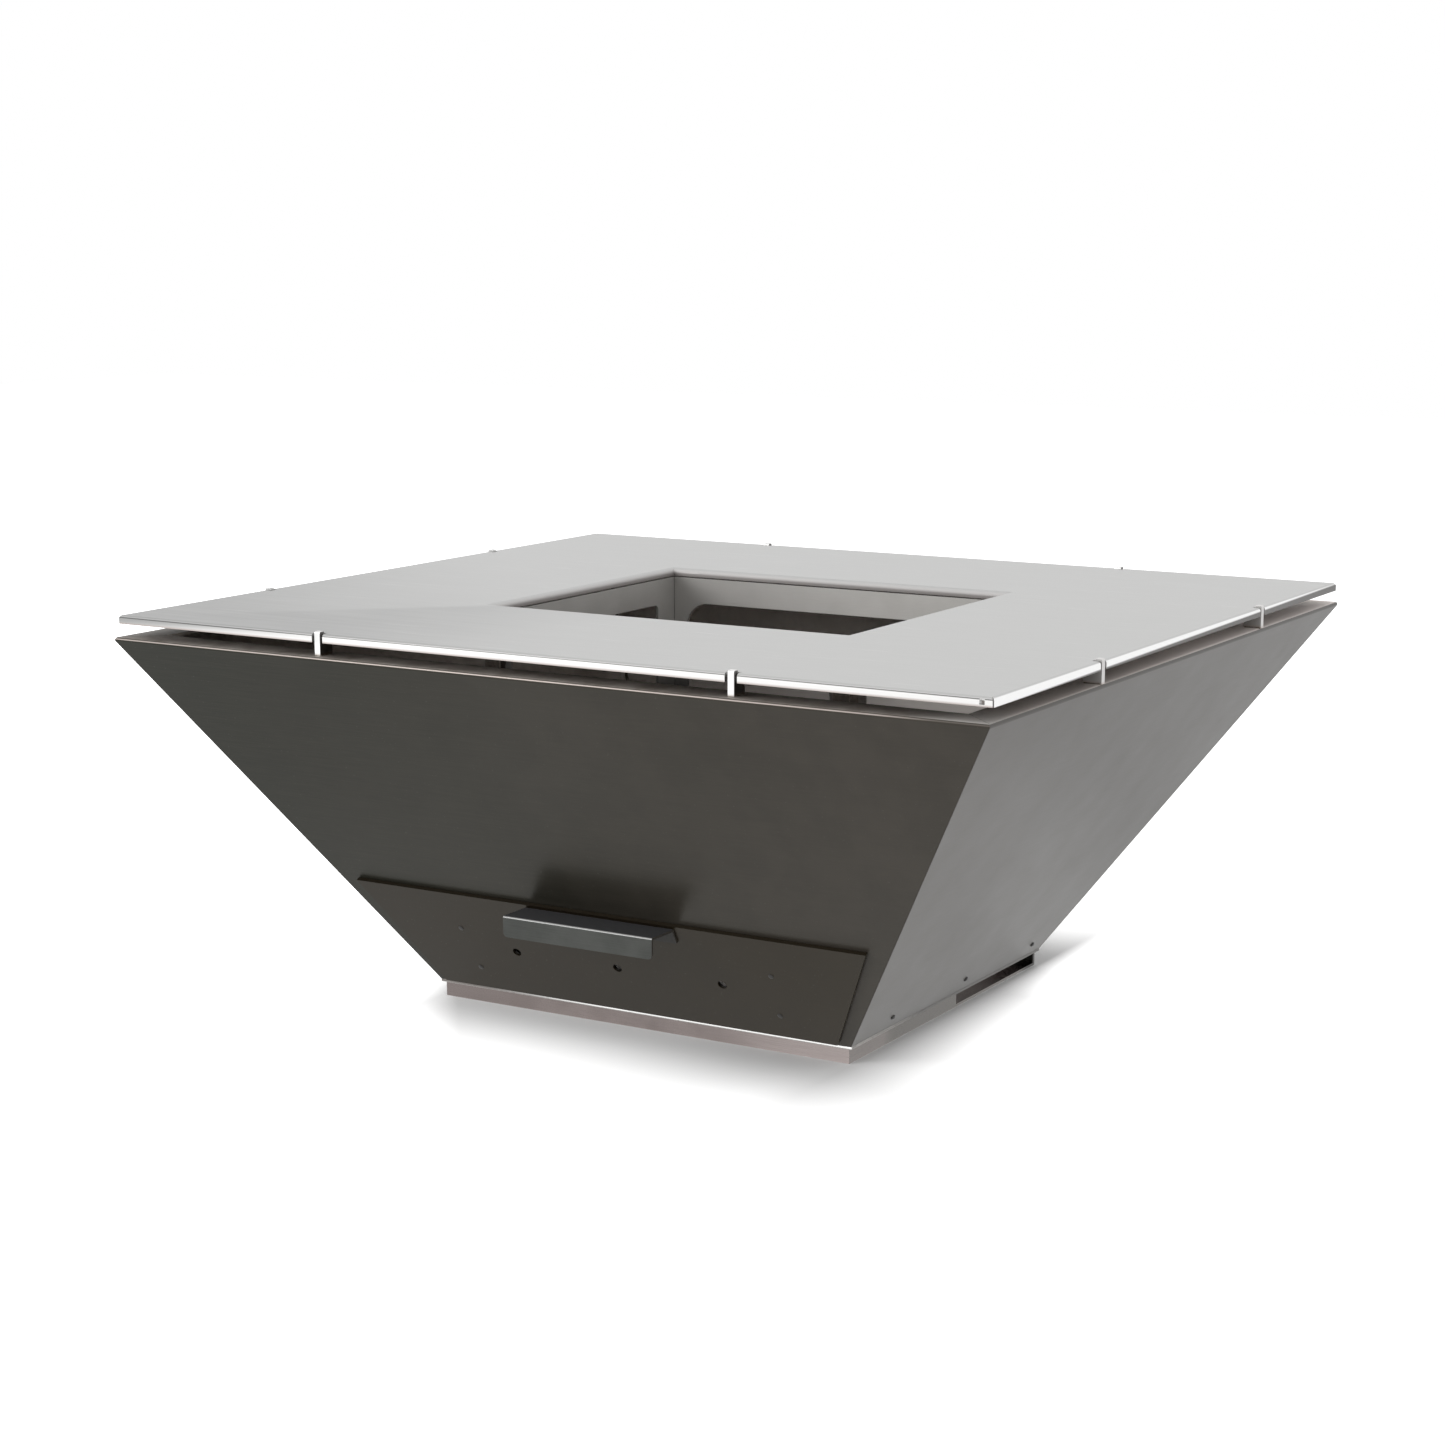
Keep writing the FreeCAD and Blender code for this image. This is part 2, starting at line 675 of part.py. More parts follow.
def drawer_handle():
    """Bent strip: a leg riveted to the drawer front, a level shelf and a grip turned down."""
    top = shelf_top()
    root = Vector(0, front_y(top, drawer_front_proud), top)
    lip = root.y - handle_reach
    down = Vector(0, front_run, -bowl_height).normalize()
    leg_end = root + down * handle_leg
    leg_end_out = leg_end + front_normal * handle_sheet
    under = top - handle_sheet
    outline = [(root.y, top), (lip, top), (lip, top - handle_grip_height),
               (lip + handle_sheet, top - handle_grip_height), (lip + handle_sheet, under),
               (front_y(under, drawer_front_proud + handle_sheet), under),
               (leg_end_out.y, leg_end_out.z), (leg_end.y, leg_end.z)]
    half = handle_length / 2
    handle = extrude_yz(outline, -half, half)
    bend = edge_between(handle, Vector(-half, lip, top), Vector(half, lip, top))
    handle = handle.makeFillet(handle_bend, [bend])
    corners = []
    grip_low = top - handle_grip_height
    for x in (-half, half):
        outside = Vector(x, lip, grip_low)
        corners.append(edge_between(handle, outside, outside + Vector(0, handle_sheet, 0)))
    handle = handle.makeFillet(handle_corner_radius, corners)
    return handle.cut(rivet_holes(handle_rivet_sites()))


def drawer_stop():
    """Angle on the tray's right side that meets the firebox's front leg when the drawer is open."""
    low = tray_bottom + stop_above_tray_bottom
    high = low + stop_height
    side = tray_half
    plate = box((side, stop_front, low), (side + stop_reach, stop_front + stop_sheet, high))
    flange = box((side, stop_front, low), (side + stop_sheet, stop_front + stop_flange, high))
    return plate.fuse(flange).removeSplitter()


def drawer_runner():
    """Angle on the floor plate that carries and guides the tray's right edge."""
    outer = tray_half + tray_side_gap + runner_sheet
    front = foot_front + runner_front_gap
    back = tray_back + runner_past_tray
    level = box((outer - runner_width, front, floor_top), (outer, back, floor_top + runner_sheet))
    upright = box((outer - runner_sheet, front, floor_top), (outer, back, floor_top + runner_height))
    return level.fuse(upright).removeSplitter()


def drawer_opening():
    half = tray_half + opening_side_clearance
    return box((-half, -rim_width, floor_top), (half, 0, tray_top + opening_top_clearance))


# ---------------------------------------------------------------- write every node
def build():
    os.makedirs("parts", exist_ok=True)

    for side in SIDES:
        export("plinth_%s" % side, plinth_strip(side))
    export("floor_plate", floor_plate())
    export("bowl_front_wall", bowl_wall("front").cut(drawer_opening()))
    for side in ("right", "back", "left"):
        export("bowl_%s_wall" % side, bowl_wall(side).cut(screw_holes(side)))
    export("floor_angle_right", side_angle().cut(screw_holes("right")))
    export("floor_angle_left", mirrored_x(side_angle()).cut(screw_holes("left")))
    export("floor_angle_back", back_angle().cut(screw_holes("back")))
    sites = [site for side in ("right", "left", "back") for site in screw_sites()[side]]
    export("floor_screws", Part.makeCompound([screw(*site) for site in sites]))
    export("floor_nuts", Part.makeCompound([nut(*site) for site in sites]))

    for name, turn, place in lug_sites():
        export("plate_lug_%s" % name, turned(lug(), turn, place))
    export("cooking_plate", cooking_plate())

    for side in SIDES:
        export("firebox_%s_wall" % side, firebox_wall(side))
        export("grate_ledge_%s" % side, grate_ledge(side))
    for name, x_sign, y_sign in (("front_left", -1, -1), ("front_right", 1, -1),
                                 ("back_right", 1, 1), ("back_left", -1, 1)):
        export("firebox_leg_%s" % name, firebox_leg(x_sign, y_sign))
    export("grate_frame", grate_frame())
    export("grate_bars", grate_bars())

    export("ash_tray", ash_tray())
    export("drawer_front", drawer_front())
    export("drawer_handle", drawer_handle())
    grip = drawer_front_sheet + tray_sheet
    export("drawer_rivets", Part.makeCompound(
        [rivet(x, z, drawer_front_proud, grip) for x, z in front_rivet_sites()]))
    grip = drawer_front_sheet + handle_sheet
    export("handle_rivets", Part.makeCompound(
        [rivet(x, z, drawer_front_proud + handle_sheet, grip) for x, z in handle_rivet_sites()]))
    export("drawer_stop_right", drawer_stop())
    export("drawer_stop_left", mirrored_x(drawer_stop()))
    export("drawer_runner_right", drawer_runner())
    export("drawer_runner_left", mirrored_x(drawer_runner()))
    print("drawer travel %.1f" % drawer_travel)


build()
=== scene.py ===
import json
import math
import bmesh
import bpy
import numpy as np
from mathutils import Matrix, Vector


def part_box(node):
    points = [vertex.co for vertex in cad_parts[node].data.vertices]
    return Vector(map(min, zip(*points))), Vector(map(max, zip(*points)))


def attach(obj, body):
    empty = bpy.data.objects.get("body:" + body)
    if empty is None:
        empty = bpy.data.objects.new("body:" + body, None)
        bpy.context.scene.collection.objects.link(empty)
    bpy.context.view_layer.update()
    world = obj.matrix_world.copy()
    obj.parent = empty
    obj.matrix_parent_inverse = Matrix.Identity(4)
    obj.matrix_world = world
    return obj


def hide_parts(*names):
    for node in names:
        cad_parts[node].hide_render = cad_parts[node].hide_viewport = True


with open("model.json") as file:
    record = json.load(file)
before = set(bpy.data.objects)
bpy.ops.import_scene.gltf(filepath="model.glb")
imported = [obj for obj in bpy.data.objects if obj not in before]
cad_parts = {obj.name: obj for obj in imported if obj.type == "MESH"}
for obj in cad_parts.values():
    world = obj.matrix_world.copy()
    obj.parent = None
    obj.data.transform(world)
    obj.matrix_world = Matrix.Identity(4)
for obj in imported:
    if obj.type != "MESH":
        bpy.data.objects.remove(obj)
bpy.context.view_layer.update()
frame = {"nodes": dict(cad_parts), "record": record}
MM = 0.001


# ------------------------------------------------------------ node trees, written as plain sums

class Val:
    """One value in a node tree. Sums on it add Math nodes."""

    def __init__(self, tree, socket):
        self.tree = tree
        self.socket = socket

    def maths(self, operation, first, second=0.0, third=0.0):
        return self.tree.node("ShaderNodeMath", {"operation": operation}, {0: first, 1: second, 2: third})

    def __add__(self, other):
        return self.maths("ADD", self, other)

    __radd__ = __add__

    def __sub__(self, other):
        return self.maths("SUBTRACT", self, other)

    def __rsub__(self, other):
        return self.maths("SUBTRACT", other, self)

    def __mul__(self, other):
        return self.maths("MULTIPLY", self, other)

    __rmul__ = __mul__

    def __truediv__(self, other):
        return self.maths("DIVIDE", self, other)

    def __rtruediv__(self, other):
        return self.maths("DIVIDE", other, self)

    def cosine(self):
        return self.maths("COSINE", self)

    def sine(self):
        return self.maths("SINE", self)

    def size(self):
        return self.maths("ABSOLUTE", self)

    def root(self):
        return self.maths("SQRT", self)

    def wrapped(self, length):
        """The rest that is left of the value after whole lengths."""
        return self.maths("WRAP", self, length, 0.0)

    def most(self, other):
        """The larger of the two."""
        return self.maths("MAXIMUM", self, other)

    def least(self, other):
        """The smaller of the two."""
        return self.maths("MINIMUM", self, other)

    def eased(self, low, high, at_low=0.0, at_high=1.0):
        """at_low below low, at_high above high, and a soft slope between them."""
        return self.tree.node("ShaderNodeMapRange", {"interpolation_type": "SMOOTHSTEP"},
                              {0: self, 1: low, 2: high, 3: at_low, 4: at_high})

    def part(self, name):
        """Another output of the node that this value comes from."""
        return Val(self.tree, self.socket.node.outputs[name])


class Tree:
    """A shader or geometry tree that is built one line at a time."""

    def __init__(self, tree):
        self.tree = tree

    def node(self, kind, settings=None, inputs=None, out=0):
        """Adds a node with its settings, then its inputs' values or links, and returns one output."""
        made = self.tree.nodes.new(kind)
        for name, value in (settings or {}).items():
            if name == "curve":
                set_curve(made.mapping, value)
            else:
                setattr(made, name, value)
        for name, value in (inputs or {}).items():
            if isinstance(value, Val):
                self.tree.links.new(value.socket, made.inputs[name])
            else:
                made.inputs[name].default_value = value
        return Val(self, made.outputs[out])


def set_curve(mapping, points):
    """Gives a curve node straight runs through the points."""
    line = mapping.curves[0]
    while len(line.points) < len(points):
        line.points.new(0.5, 0.5)
    for point, place in zip(line.points, points):
        point.location = place
        point.handle_type = "VECTOR"
    mapping.update()


# ------------------------------------------------------------ places that the finishes follow

HANDLE_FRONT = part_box("drawer_handle")[0].y
RIM_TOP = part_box("bowl_front_wall")[1].z
PLATE_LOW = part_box("cooking_plate")[0].z
PLATE_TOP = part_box("cooking_plate")[1].z
PLATE_HALF_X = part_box("cooking_plate")[1].x
PLATE_HALF_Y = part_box("cooking_plate")[1].y
FOOT_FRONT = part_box("floor_plate")[0].y
FOOT_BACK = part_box("floor_plate")[1].y
FOOT_HALF_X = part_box("floor_plate")[1].x
FLOOR_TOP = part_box("floor_plate")[1].z


# ------------------------------------------------------------ finishes

class Finish(Tree):
    """A material under construction."""

    def __init__(self, name):
        self.material = bpy.data.materials.new(name)
        self.material.use_nodes = True
        super().__init__(self.material.node_tree)
        self.shader = self.tree.nodes["Principled BSDF"]
        self.place = self.node("ShaderNodeTexCoord", None, None, "Object")

    def mark(self, name):
        """1 on the faces that carry a mark: "edge" on eased edges, "broad" on a lug's two wide sides."""
        return self.node("ShaderNodeAttribute", {"attribute_name": name}, None, "Fac")

    def across(self):
        """x, y and z of the place on the object, in metres."""
        split = self.node("ShaderNodeSeparateXYZ", None, {0: self.place})
        return split, split.part("Y"), split.part("Z")

    def facing(self):
        """x, y and z of the direction that the surface faces."""
        normal = self.node("ShaderNodeNewGeometry", None, None, "Normal")
        split = self.node("ShaderNodeSeparateXYZ", None, {0: normal})
        return split, split.part("Y"), split.part("Z")

    def noise(self, size, detail=2.0, run=(1.0, 1.0, 1.0), shift=0.0, wander=0.0, rough=0.5):
        """Noise with features of a size in metres, drawn out along an axis by run."""
        scale = tuple(1.0 / (size * length) for length in run)
        place = self.node("ShaderNodeMapping", None,
                          {"Vector": self.place, "Location": (shift, shift, shift), "Scale": scale})
        return self.node("ShaderNodeTexNoise", None,
                         {"Vector": place, "Scale": 1.0, "Detail": detail, "Roughness": rough,
                          "Distortion": wander})

    def tint(self, mask, first, second):
        """The first colour where mask is 0 and the second where it is 1."""
        inputs = {0: mask}
        for socket, colour in ((6, first), (7, second)):
            inputs[socket] = colour if isinstance(colour, Val) else (*colour, 1.0)
        return self.node("ShaderNodeMix", {"data_type": "RGBA"}, inputs, 2)

    def layers(self, tone, *coats):
        """A tone with others laid over it in turn, each through its mask."""
        for mask, over in coats:
            tone = self.tint(mask, tone, over)
        return tone

    def mottled(self, patches, tones):
        """Two tones that change over in soft patches of a noise."""
        return self.tint(patches.eased(*PATCH), *tones)

    def relief(self, height, depth, under=None):
        """A bump of a depth in metres, on top of the relief under it."""
        inputs = {"Height": height, "Distance": depth, "Strength": 1.0}
        if under is not None:
            inputs["Normal"] = under
        return self.node("ShaderNodeBump", None, inputs)

    def surface(self, tone, roughness, normal=None, metal=1.0, **others):
        """Sets the shader's sockets, the others given with _ for each space, and returns the material."""
        values = {"Base Color": tone, "Roughness": roughness, "Metallic": metal, **others}
        if normal is not None:
            values["Normal"] = normal
        for name, value in values.items():
            socket = self.shader.inputs[name.replace("_", " ")]
            if isinstance(value, Val):
                self.tree.links.new(value.socket, socket)
            elif isinstance(value, tuple):
                socket.default_value = (*value, 1.0)
            else:
                socket.default_value = value
        return self.material


def times(tone, share):
    """A tone made darker or paler by a share."""
    return tuple(share * part for part in tone)


# How far a grain is drawn out along x, y and z, and the levels of a noise between which patches, brush
# marks and streaks set in.
ALONG_X = (60.0, 1.0, 1.0)
ALONG_Y = (1.0, 60.0, 1.0)
UPRIGHT = (1.0, 1.0, 60.0)
LEVEL = (60.0, 60.0, 1.0)
PATCH = (0.3, 0.7)
BRUSHED = (0.2, 0.8, 0.0)
STREAKED = (0.3, 0.8, 0.0)

# Tones of the bare steel on the rim and in the bowl.
BOWL_INSIDE = ((0.60, 0.55, 0.51), (0.74, 0.69, 0.64))
# Painted light: the back wall, which lies in shade, is paler.
BOWL_BACK_WALL_LIT = (0.92, 0.87, 0.83)
FRONT_RIM = ((0.15, 0.13, 0.115), (0.26, 0.235, 0.215))
RIGHT_RIM = ((0.46, 0.42, 0.395), (0.74, 0.68, 0.65))
# Painted light: the rim is paler at its front-right corner.
RIM_CORNER_LIT = (0.45, 0.43, 0.41)
# Painted highlight: a pale line along the rim's bend.
BEND_HIGHLIGHT_TONE = (0.62, 0.54, 0.50)
COAT_SPECK = (0.09, 0.085, 0.078)


def bowl_steel(coat, x, y, inside):
    """Mottled bare steel: dark on the front rim, paler on the right rim towards the back, with a front-right
    corner painted paler as light, and pale inside the bowl, most of all on the back wall, which is painted
    paler as light where it lies in shade."""
    browned = coat.noise(30 * MM, 4.0, shift=15.0, rough=0.6)
    on_back_wall = y.eased(0.3, 0.35)
    on_right_rim = x.eased(0.46, 0.47)
    towards_back = y.eased(-0.3, 0.1)
    # Painted light at the rim's front-right corner.
    lit_corner = x.eased(0.40, 0.48) * y.eased(-0.43, -0.37, 1.0, 0.0)
    bowl = coat.tint(on_back_wall, coat.mottled(browned, BOWL_INSIDE), BOWL_BACK_WALL_LIT)
    rim = coat.layers(
        coat.mottled(browned, FRONT_RIM),
        (on_right_rim, coat.tint(towards_back, *RIGHT_RIM)),
        (lit_corner, RIM_CORNER_LIT),
    )
    return coat.tint(inside, rim, bowl)


def satin_coat(name, left, right, grain, edge_wear_and_shade, warmth, ior, bend_highlight_share=0.0, bare_inside=1.0):
    """Heat-proof satin coat on rolled sheet: fine peel, faint streaks, and worn edges, on the drawer painted
    near black as shade instead. Its tone grows paler from left to right as painted light, and a pale line
    along the rim's bend is a painted highlight. With bare_inside at 1, the rim's top and the inside of the
    bowl have no coat."""
    coat = Finish(name)
    x, y, z = coat.across()
    facing_x, facing_y, up = coat.facing()
    edge = coat.mark("edge")
    streaks = coat.noise(0.9 * MM, 2.0, grain)
    drift = coat.noise(220 * MM, 2.0)
    clouds = coat.noise(45 * MM, 3.0, shift=3.0)
    peel = coat.noise(1.3 * MM, 1.0)
    buckle = coat.noise(340 * MM, 1.0, shift=7.0)
    specks = coat.noise(2.1 * MM, 0.0, shift=11.0).eased(0.79, 0.84)

    # Painted light: the coat grows paler towards the right.
    paler_to_the_right = (x + drift * 0.3).eased(-0.42, 0.62)
    cloud_shade = clouds.eased(0.35, 0.65, 0.15, 0.0)
    streak_light = streaks.eased(*STREAKED, 0.15)
    # Worn edges; on the drawer the edge tone is near black, painted shade for the gaps round the panel.
    wear = edge * clouds.eased(0.35, 0.6, 0.35, 1.0)
    tone = coat.layers(
        coat.tint(paler_to_the_right, left, right),
        (cloud_shade, times(left, 0.5)),
        (streak_light, times(right, 1.4)),
        (specks * 0.25, COAT_SPECK),
        (wear, edge_wear_and_shade),
    )

    inside = (facing_x * x + facing_y * y).eased(-0.06, -0.02, 1.0, 0.0)
    by_rim = z.eased(RIM_TOP - 5 * MM, RIM_TOP - 4 * MM)
    # A pale, glossier line painted along the rim's bend where the lamp's highlight falls: a painted
    # highlight.
    bend = up.eased(0.1, 0.25) * up.eased(0.5, 0.65, 1.0, 0.0) * by_rim
    before_right_end = (x + drift * 0.1).eased(0.44, 0.5, bend_highlight_share, 0.2 * bend_highlight_share)
    bend_highlight_mask = bend * (1 - inside) * before_right_end
    tone = coat.tint(bend_highlight_mask, tone, BEND_HIGHLIGHT_TONE)
    bare = inside.most(up.eased(0.7, 0.9)) * bare_inside
    tone = coat.tint(bare, tone, bowl_steel(coat, x, y, inside))

    coat_roughness = 0.26 + clouds * 0.08 + streaks * 0.05 - bend_highlight_mask * 0.06 + edge * 0.2
    bare_roughness = 0.5
    roughness = coat_roughness * (1 - bare) + bare_roughness * bare
    normal = coat.relief(buckle, 3.5 * MM)
    normal = coat.relief(streaks * 0.5 + peel, 0.012 * MM, normal)
    metal = bare * 0.25 + bend_highlight_mask * 0.35 + edge * (1 - bare_inside)
    return coat.surface(tone, roughness, normal, metal, IOR=ior, Specular_Tint=warmth)


# The grip is painted paler than the panel as painted light.
GRIP = ((0.058, 0.061, 0.056), (0.078, 0.081, 0.075))
GRIP_STREAK = (0.095, 0.1, 0.096)
# Painted highlight along the grip's bend.
GRIP_HIGHLIGHT_LINE = (0.4, 0.4, 0.395)
# Painted shade on the undersides and painted light on the top.
HANDLE_SHADED_UNDER_LIT_TOP = ((0.022, 0.020, 0.017), (0.06, 0.06, 0.063))
# Painted light: the ends are lifted to the panel's tone.
HANDLE_ENDS_LIT = (0.06, 0.055, 0.048)


def handle_coat():
    """Coated strip of the handle: a cooler grip painted paler as light, with a painted highlight line along
    its bend, a grey top and ends painted paler as light, and undersides painted dark as shade."""
    coat = Finish("satin_coat_handle")
    _, y, _ = coat.across()
    facing_x, _, up = coat.facing()
    streaks = coat.noise(0.9 * MM, 2.0, ALONG_X)
    clouds = coat.noise(30 * MM, 3.0)
    # The top is painted paler as light, the other faces dark as shade.
    flat = up.eased(0.75, 0.95)
    # The ends are painted paler as light.
    ends = facing_x.size().eased(0.5, 0.8)
    on_grip = y.eased(HANDLE_FRONT + 2 * MM, HANDLE_FRONT + 3 * MM, 1.0, 0.0) * (1 - flat) * (1 - ends)
    # A painted highlight line along the grip's bend.
    line = up.eased(0.2, 0.4) * on_grip

    # The grip's paler tone is painted light.
    grip = coat.tint(streaks.eased(*STREAKED, 0.3), coat.mottled(clouds, GRIP), GRIP_STREAK)
    tone = coat.layers(
        coat.tint(flat, *HANDLE_SHADED_UNDER_LIT_TOP),
        (ends, HANDLE_ENDS_LIT),
        (on_grip, grip),
        (line, GRIP_HIGHLIGHT_LINE),
    )
    roughness = 0.3 + clouds * 0.08 + streaks * 0.05 + flat * 0.2
    normal = coat.relief(streaks, 0.012 * MM)
    return coat.surface(tone, roughness, normal, line * 0.3, IOR=1.3)


# Tones of the cooking plate: its top, the folded lip at the front and on the right, and the hole's sides.
# Painted light: the top grows paler from the front left corner to the middle and the right.
TOP_SHADED_FRONT_LEFT = (0.34, 0.34, 0.337)
TOP_MIDDLE = (0.54, 0.54, 0.534)
TOP_RIGHT = (0.55, 0.55, 0.542)
# Painted reflection: a darker wedge from the front left corner.
TOP_WEDGE_REFLECTION = (0.33, 0.33, 0.328)
TOP_CLOUD = (0.6, 0.598, 0.59)
TOP_LONG_MARK = (0.58, 0.578, 0.572)
TOP_GRAIN = (0.38, 0.38, 0.376)
TOP_SCRATCH = (0.7, 0.7, 0.69)
# The front lip's painted highlight: paler towards the right, and dimmer at its head.
FRONT_LIP_HIGHLIGHT = ((0.38, 0.38, 0.376), (0.80, 0.795, 0.785))
FRONT_LIP_FOOT = (0.42, 0.365, 0.34)
FRONT_LIP_HEAD = (0.5, 0.5, 0.495)
# Painted shade: a dark line where the front lip turns.
FRONT_LIP_TURN_SHADE = ((0.16, 0.16, 0.158), (0.15, 0.149, 0.147))
# Painted reflection: the right lip is white above a dark foot that grows taller towards the back.
SIDE_LIP_REFLECTION = ((0.17, 0.165, 0.16), (0.96, 0.96, 0.955))
# Painted shade: the hole's sides are duller, darker towards their foot.
HOLE_SIDE_SHADED = ((0.36, 0.338, 0.328), (0.60, 0.59, 0.583))
WORN_LIP = (0.5, 0.49, 0.48)
WEDGE_SLOPE = 0.923
DARK_FOOT_START = 0.43
DARK_FOOT_GROWTH = 0.95


def plate_steel():
    """Hot-rolled plate, ground along its length: satin on top, painted paler from the front left corner to
    the right as light, with a darker wedge that opens from the front left corner, a painted reflection. The
    folded lips are bright with a painted highlight and a dark line of painted shade where they turn, and the
    hole's sides are painted duller as shade. The dark foot of the right lip, a painted reflection, grows
    taller towards the back."""
    steel = Finish("ground_plate_steel")
    x, y, z = steel.across()
    facing_x, _, facing_z = steel.facing()
    grain = steel.noise(0.55 * MM, 3.0, run=(140.0, 1.0, 1.0))
    long_marks = steel.noise(6 * MM, 3.0, run=(30.0, 1.0, 1.0), shift=5.0)
    clouds = steel.noise(130 * MM, 3.0, shift=9.0)
    scratches = steel.noise(1.6 * MM, 0.0, run=(45.0, 1.0, 1.0), shift=2.0, wander=0.4).eased(0.80, 0.86)

    flat = facing_z.eased(0.5, 0.985)
    # Painted light: paler from the front left corner to the middle and the right.
    paler_to_the_middle = (x + y * 0.9).eased(-0.95, -0.25)
    paler_to_the_right = (x - y * 0.2).eased(-0.1, 0.5)
    # The darker wedge is a painted reflection.
    past_wedge_line = (x + PLATE_HALF_X) * WEDGE_SLOPE - PLATE_HALF_Y - y
    reflected_wedge = past_wedge_line.eased(-4 * MM, 30 * MM) * x.eased(-0.3, 0.0, 0.6, 0.0)
    top = steel.layers(
        steel.tint(paler_to_the_middle, TOP_SHADED_FRONT_LEFT, TOP_MIDDLE),
        (paler_to_the_right, TOP_RIGHT),
        (reflected_wedge, TOP_WEDGE_REFLECTION),
        (clouds.eased(*PATCH, 0.0, 0.18), TOP_CLOUD),
        (long_marks.eased(0.3, 0.75, 0.0, 0.2), TOP_LONG_MARK),
        (grain.eased(0.25, 0.8, 0.0, 0.25), TOP_GRAIN),
        (scratches * 0.4, TOP_SCRATCH),
    )

    rise = (z - PLATE_LOW) / (PLATE_TOP - PLATE_LOW)
    on_side = facing_x.eased(0.45, 0.85)
    # The front lip's tones paint its highlight.
    front_light = (x + (1 - rise) * 0.2).eased(-0.42, -0.05)
    # The dark line where a lip turns is painted shade.
    shaded_turn = facing_z.eased(0.1, 0.25) * facing_z.eased(0.44, 0.56, 1.0, 0.0)
    foot = rise.eased(0.0, 0.3, 0.85, 0.0)
    head = facing_z.eased(0.5, 0.65)
    front = steel.layers(
        steel.tint(front_light, *FRONT_LIP_HIGHLIGHT),
        (foot, FRONT_LIP_FOOT),
        (head, FRONT_LIP_HEAD),
        (shaded_turn, steel.tint(front_light, *FRONT_LIP_TURN_SHADE)),
    )
    # The side lip's dark foot is a painted reflection.
    reflected_dark_foot = (y + DARK_FOOT_START) * DARK_FOOT_GROWTH
    side = steel.tint((rise - reflected_dark_foot).eased(-0.12, 0.1), *SIDE_LIP_REFLECTION)
    lip = steel.tint(on_side, front, side)

    reach = ((x / PLATE_HALF_X).size()).most((y / PLATE_HALF_Y).size())
    outer = reach.eased(0.95, 0.98)
    # The hole's sides are painted darker towards their foot, as shade.
    hole = steel.tint(rise.eased(0.05, 0.75), *HOLE_SIDE_SHADED)
    lip = steel.tint(outer, hole, lip)
    tone = steel.tint(steel.mark("edge") * outer * 0.4, steel.tint(flat, lip, top), WORN_LIP)
    soft = (outer * (front_light.most(on_side))).eased(0.0, 1.0, 0.34, 0.06)
    roughness = 0.29 + flat * 0.07 + (1 - flat) * soft + clouds * 0.06 + grain * 0.05 - scratches * 0.1
    normal = steel.relief(clouds, 0.5 * MM)
    normal = steel.relief(grain, 0.012 * MM, normal)
    return steel.surface(tone, roughness, normal)


LUG_END = ((0.88, 0.88, 0.87), (0.97, 0.97, 0.96))
LUG_BRUSH = (0.7, 0.7, 0.69)
# Painted shade: the ends are duller at the left above the plate and on the right wall.
LUG_END_SHADED_AT_LEFT = (0.47, 0.47, 0.465)
LUG_END_SHADED_AT_RIGHT = (0.62, 0.61, 0.60)
# Painted shade on the broad sides.
LUG_SIDE_SHADE = ((0.085, 0.078, 0.07), (0.16, 0.15, 0.14))
# Painted light: the broad sides are paler above the plate and on the right wall.
LUG_SIDE_LIT_ABOVE = (0.2, 0.195, 0.19)
LUG_SIDE_LIT_AT_RIGHT = (0.55, 0.54, 0.53)
LUG_HEAT = (0.3, 0.215, 0.15)
LUG_WORN = (0.8, 0.79, 0.78)


def lug_steel():
    """Bright stainless lugs: brushed ends and heat tint by the weld. The broad sides are painted dark as
    shade, and paler above the plate and on the right wall as painted light; the ends are painted duller at
    the left above the plate and on the right wall, as shade.
    """
    steel = Finish("bright_lug_steel")
    x, _, z = steel.across()
    broad = steel.mark("broad")
    brush = steel.noise(0.4 * MM, 2.0, UPRIGHT)
    clouds = steel.noise(20 * MM, 3.0)

    # Painted shade on the ends at the left above the plate and on the right wall.
    left_above = x.eased(-0.3, -0.2, 1.0, 0.0) * z.eased(PLATE_LOW - 2 * MM, PLATE_LOW + 1 * MM)
    at_right_rim = x.eased(0.465, 0.47)
    bright = steel.layers(
        steel.mottled(clouds, LUG_END),
        (brush.eased(*BRUSHED, 0.12), LUG_BRUSH),
        (left_above, LUG_END_SHADED_AT_LEFT),
        (at_right_rim, LUG_END_SHADED_AT_RIGHT),
    )

    above_gap = z.eased(PLATE_LOW - 1 * MM, PLATE_LOW + 2 * MM)
    on_right_wall = x.eased(0.44, 0.46)
    off_left_wall = x.eased(-0.47, -0.46)
    # The broad sides are painted dark as shade, and paler above the plate and on the right wall as painted
    # light.
    side_shade_and_light = steel.layers(
        steel.mottled(clouds, LUG_SIDE_SHADE),
        (above_gap, LUG_SIDE_LIT_ABOVE),
        (on_right_wall, LUG_SIDE_LIT_AT_RIGHT),
    )
    heat = (z + clouds * 3.0 * MM).eased(RIM_TOP + 1.0 * MM, RIM_TOP + 5.0 * MM, 0.6, 0.0)
    tone = steel.layers(
        steel.tint(broad * off_left_wall, bright, side_shade_and_light),
        (heat, LUG_HEAT),
        (steel.mark("edge") * 0.4, LUG_WORN),
    )
    roughness = 0.24 + clouds * 0.07 + brush * 0.04 + broad * 0.15
    normal = steel.relief(brush, 0.006 * MM)
    return steel.surface(tone, roughness, normal)


# The rosy grey is partly a painted reflection of the floor.
PLINTH = ((0.21, 0.18, 0.172), (0.28, 0.242, 0.232))
# Painted shade at the left and painted light at the right.
PLINTH_SHADED_LEFT = (0.20, 0.172, 0.165)
PLINTH_LIT_RIGHT = (0.36, 0.315, 0.305)
PLINTH_BRUSH = (0.15, 0.13, 0.125)
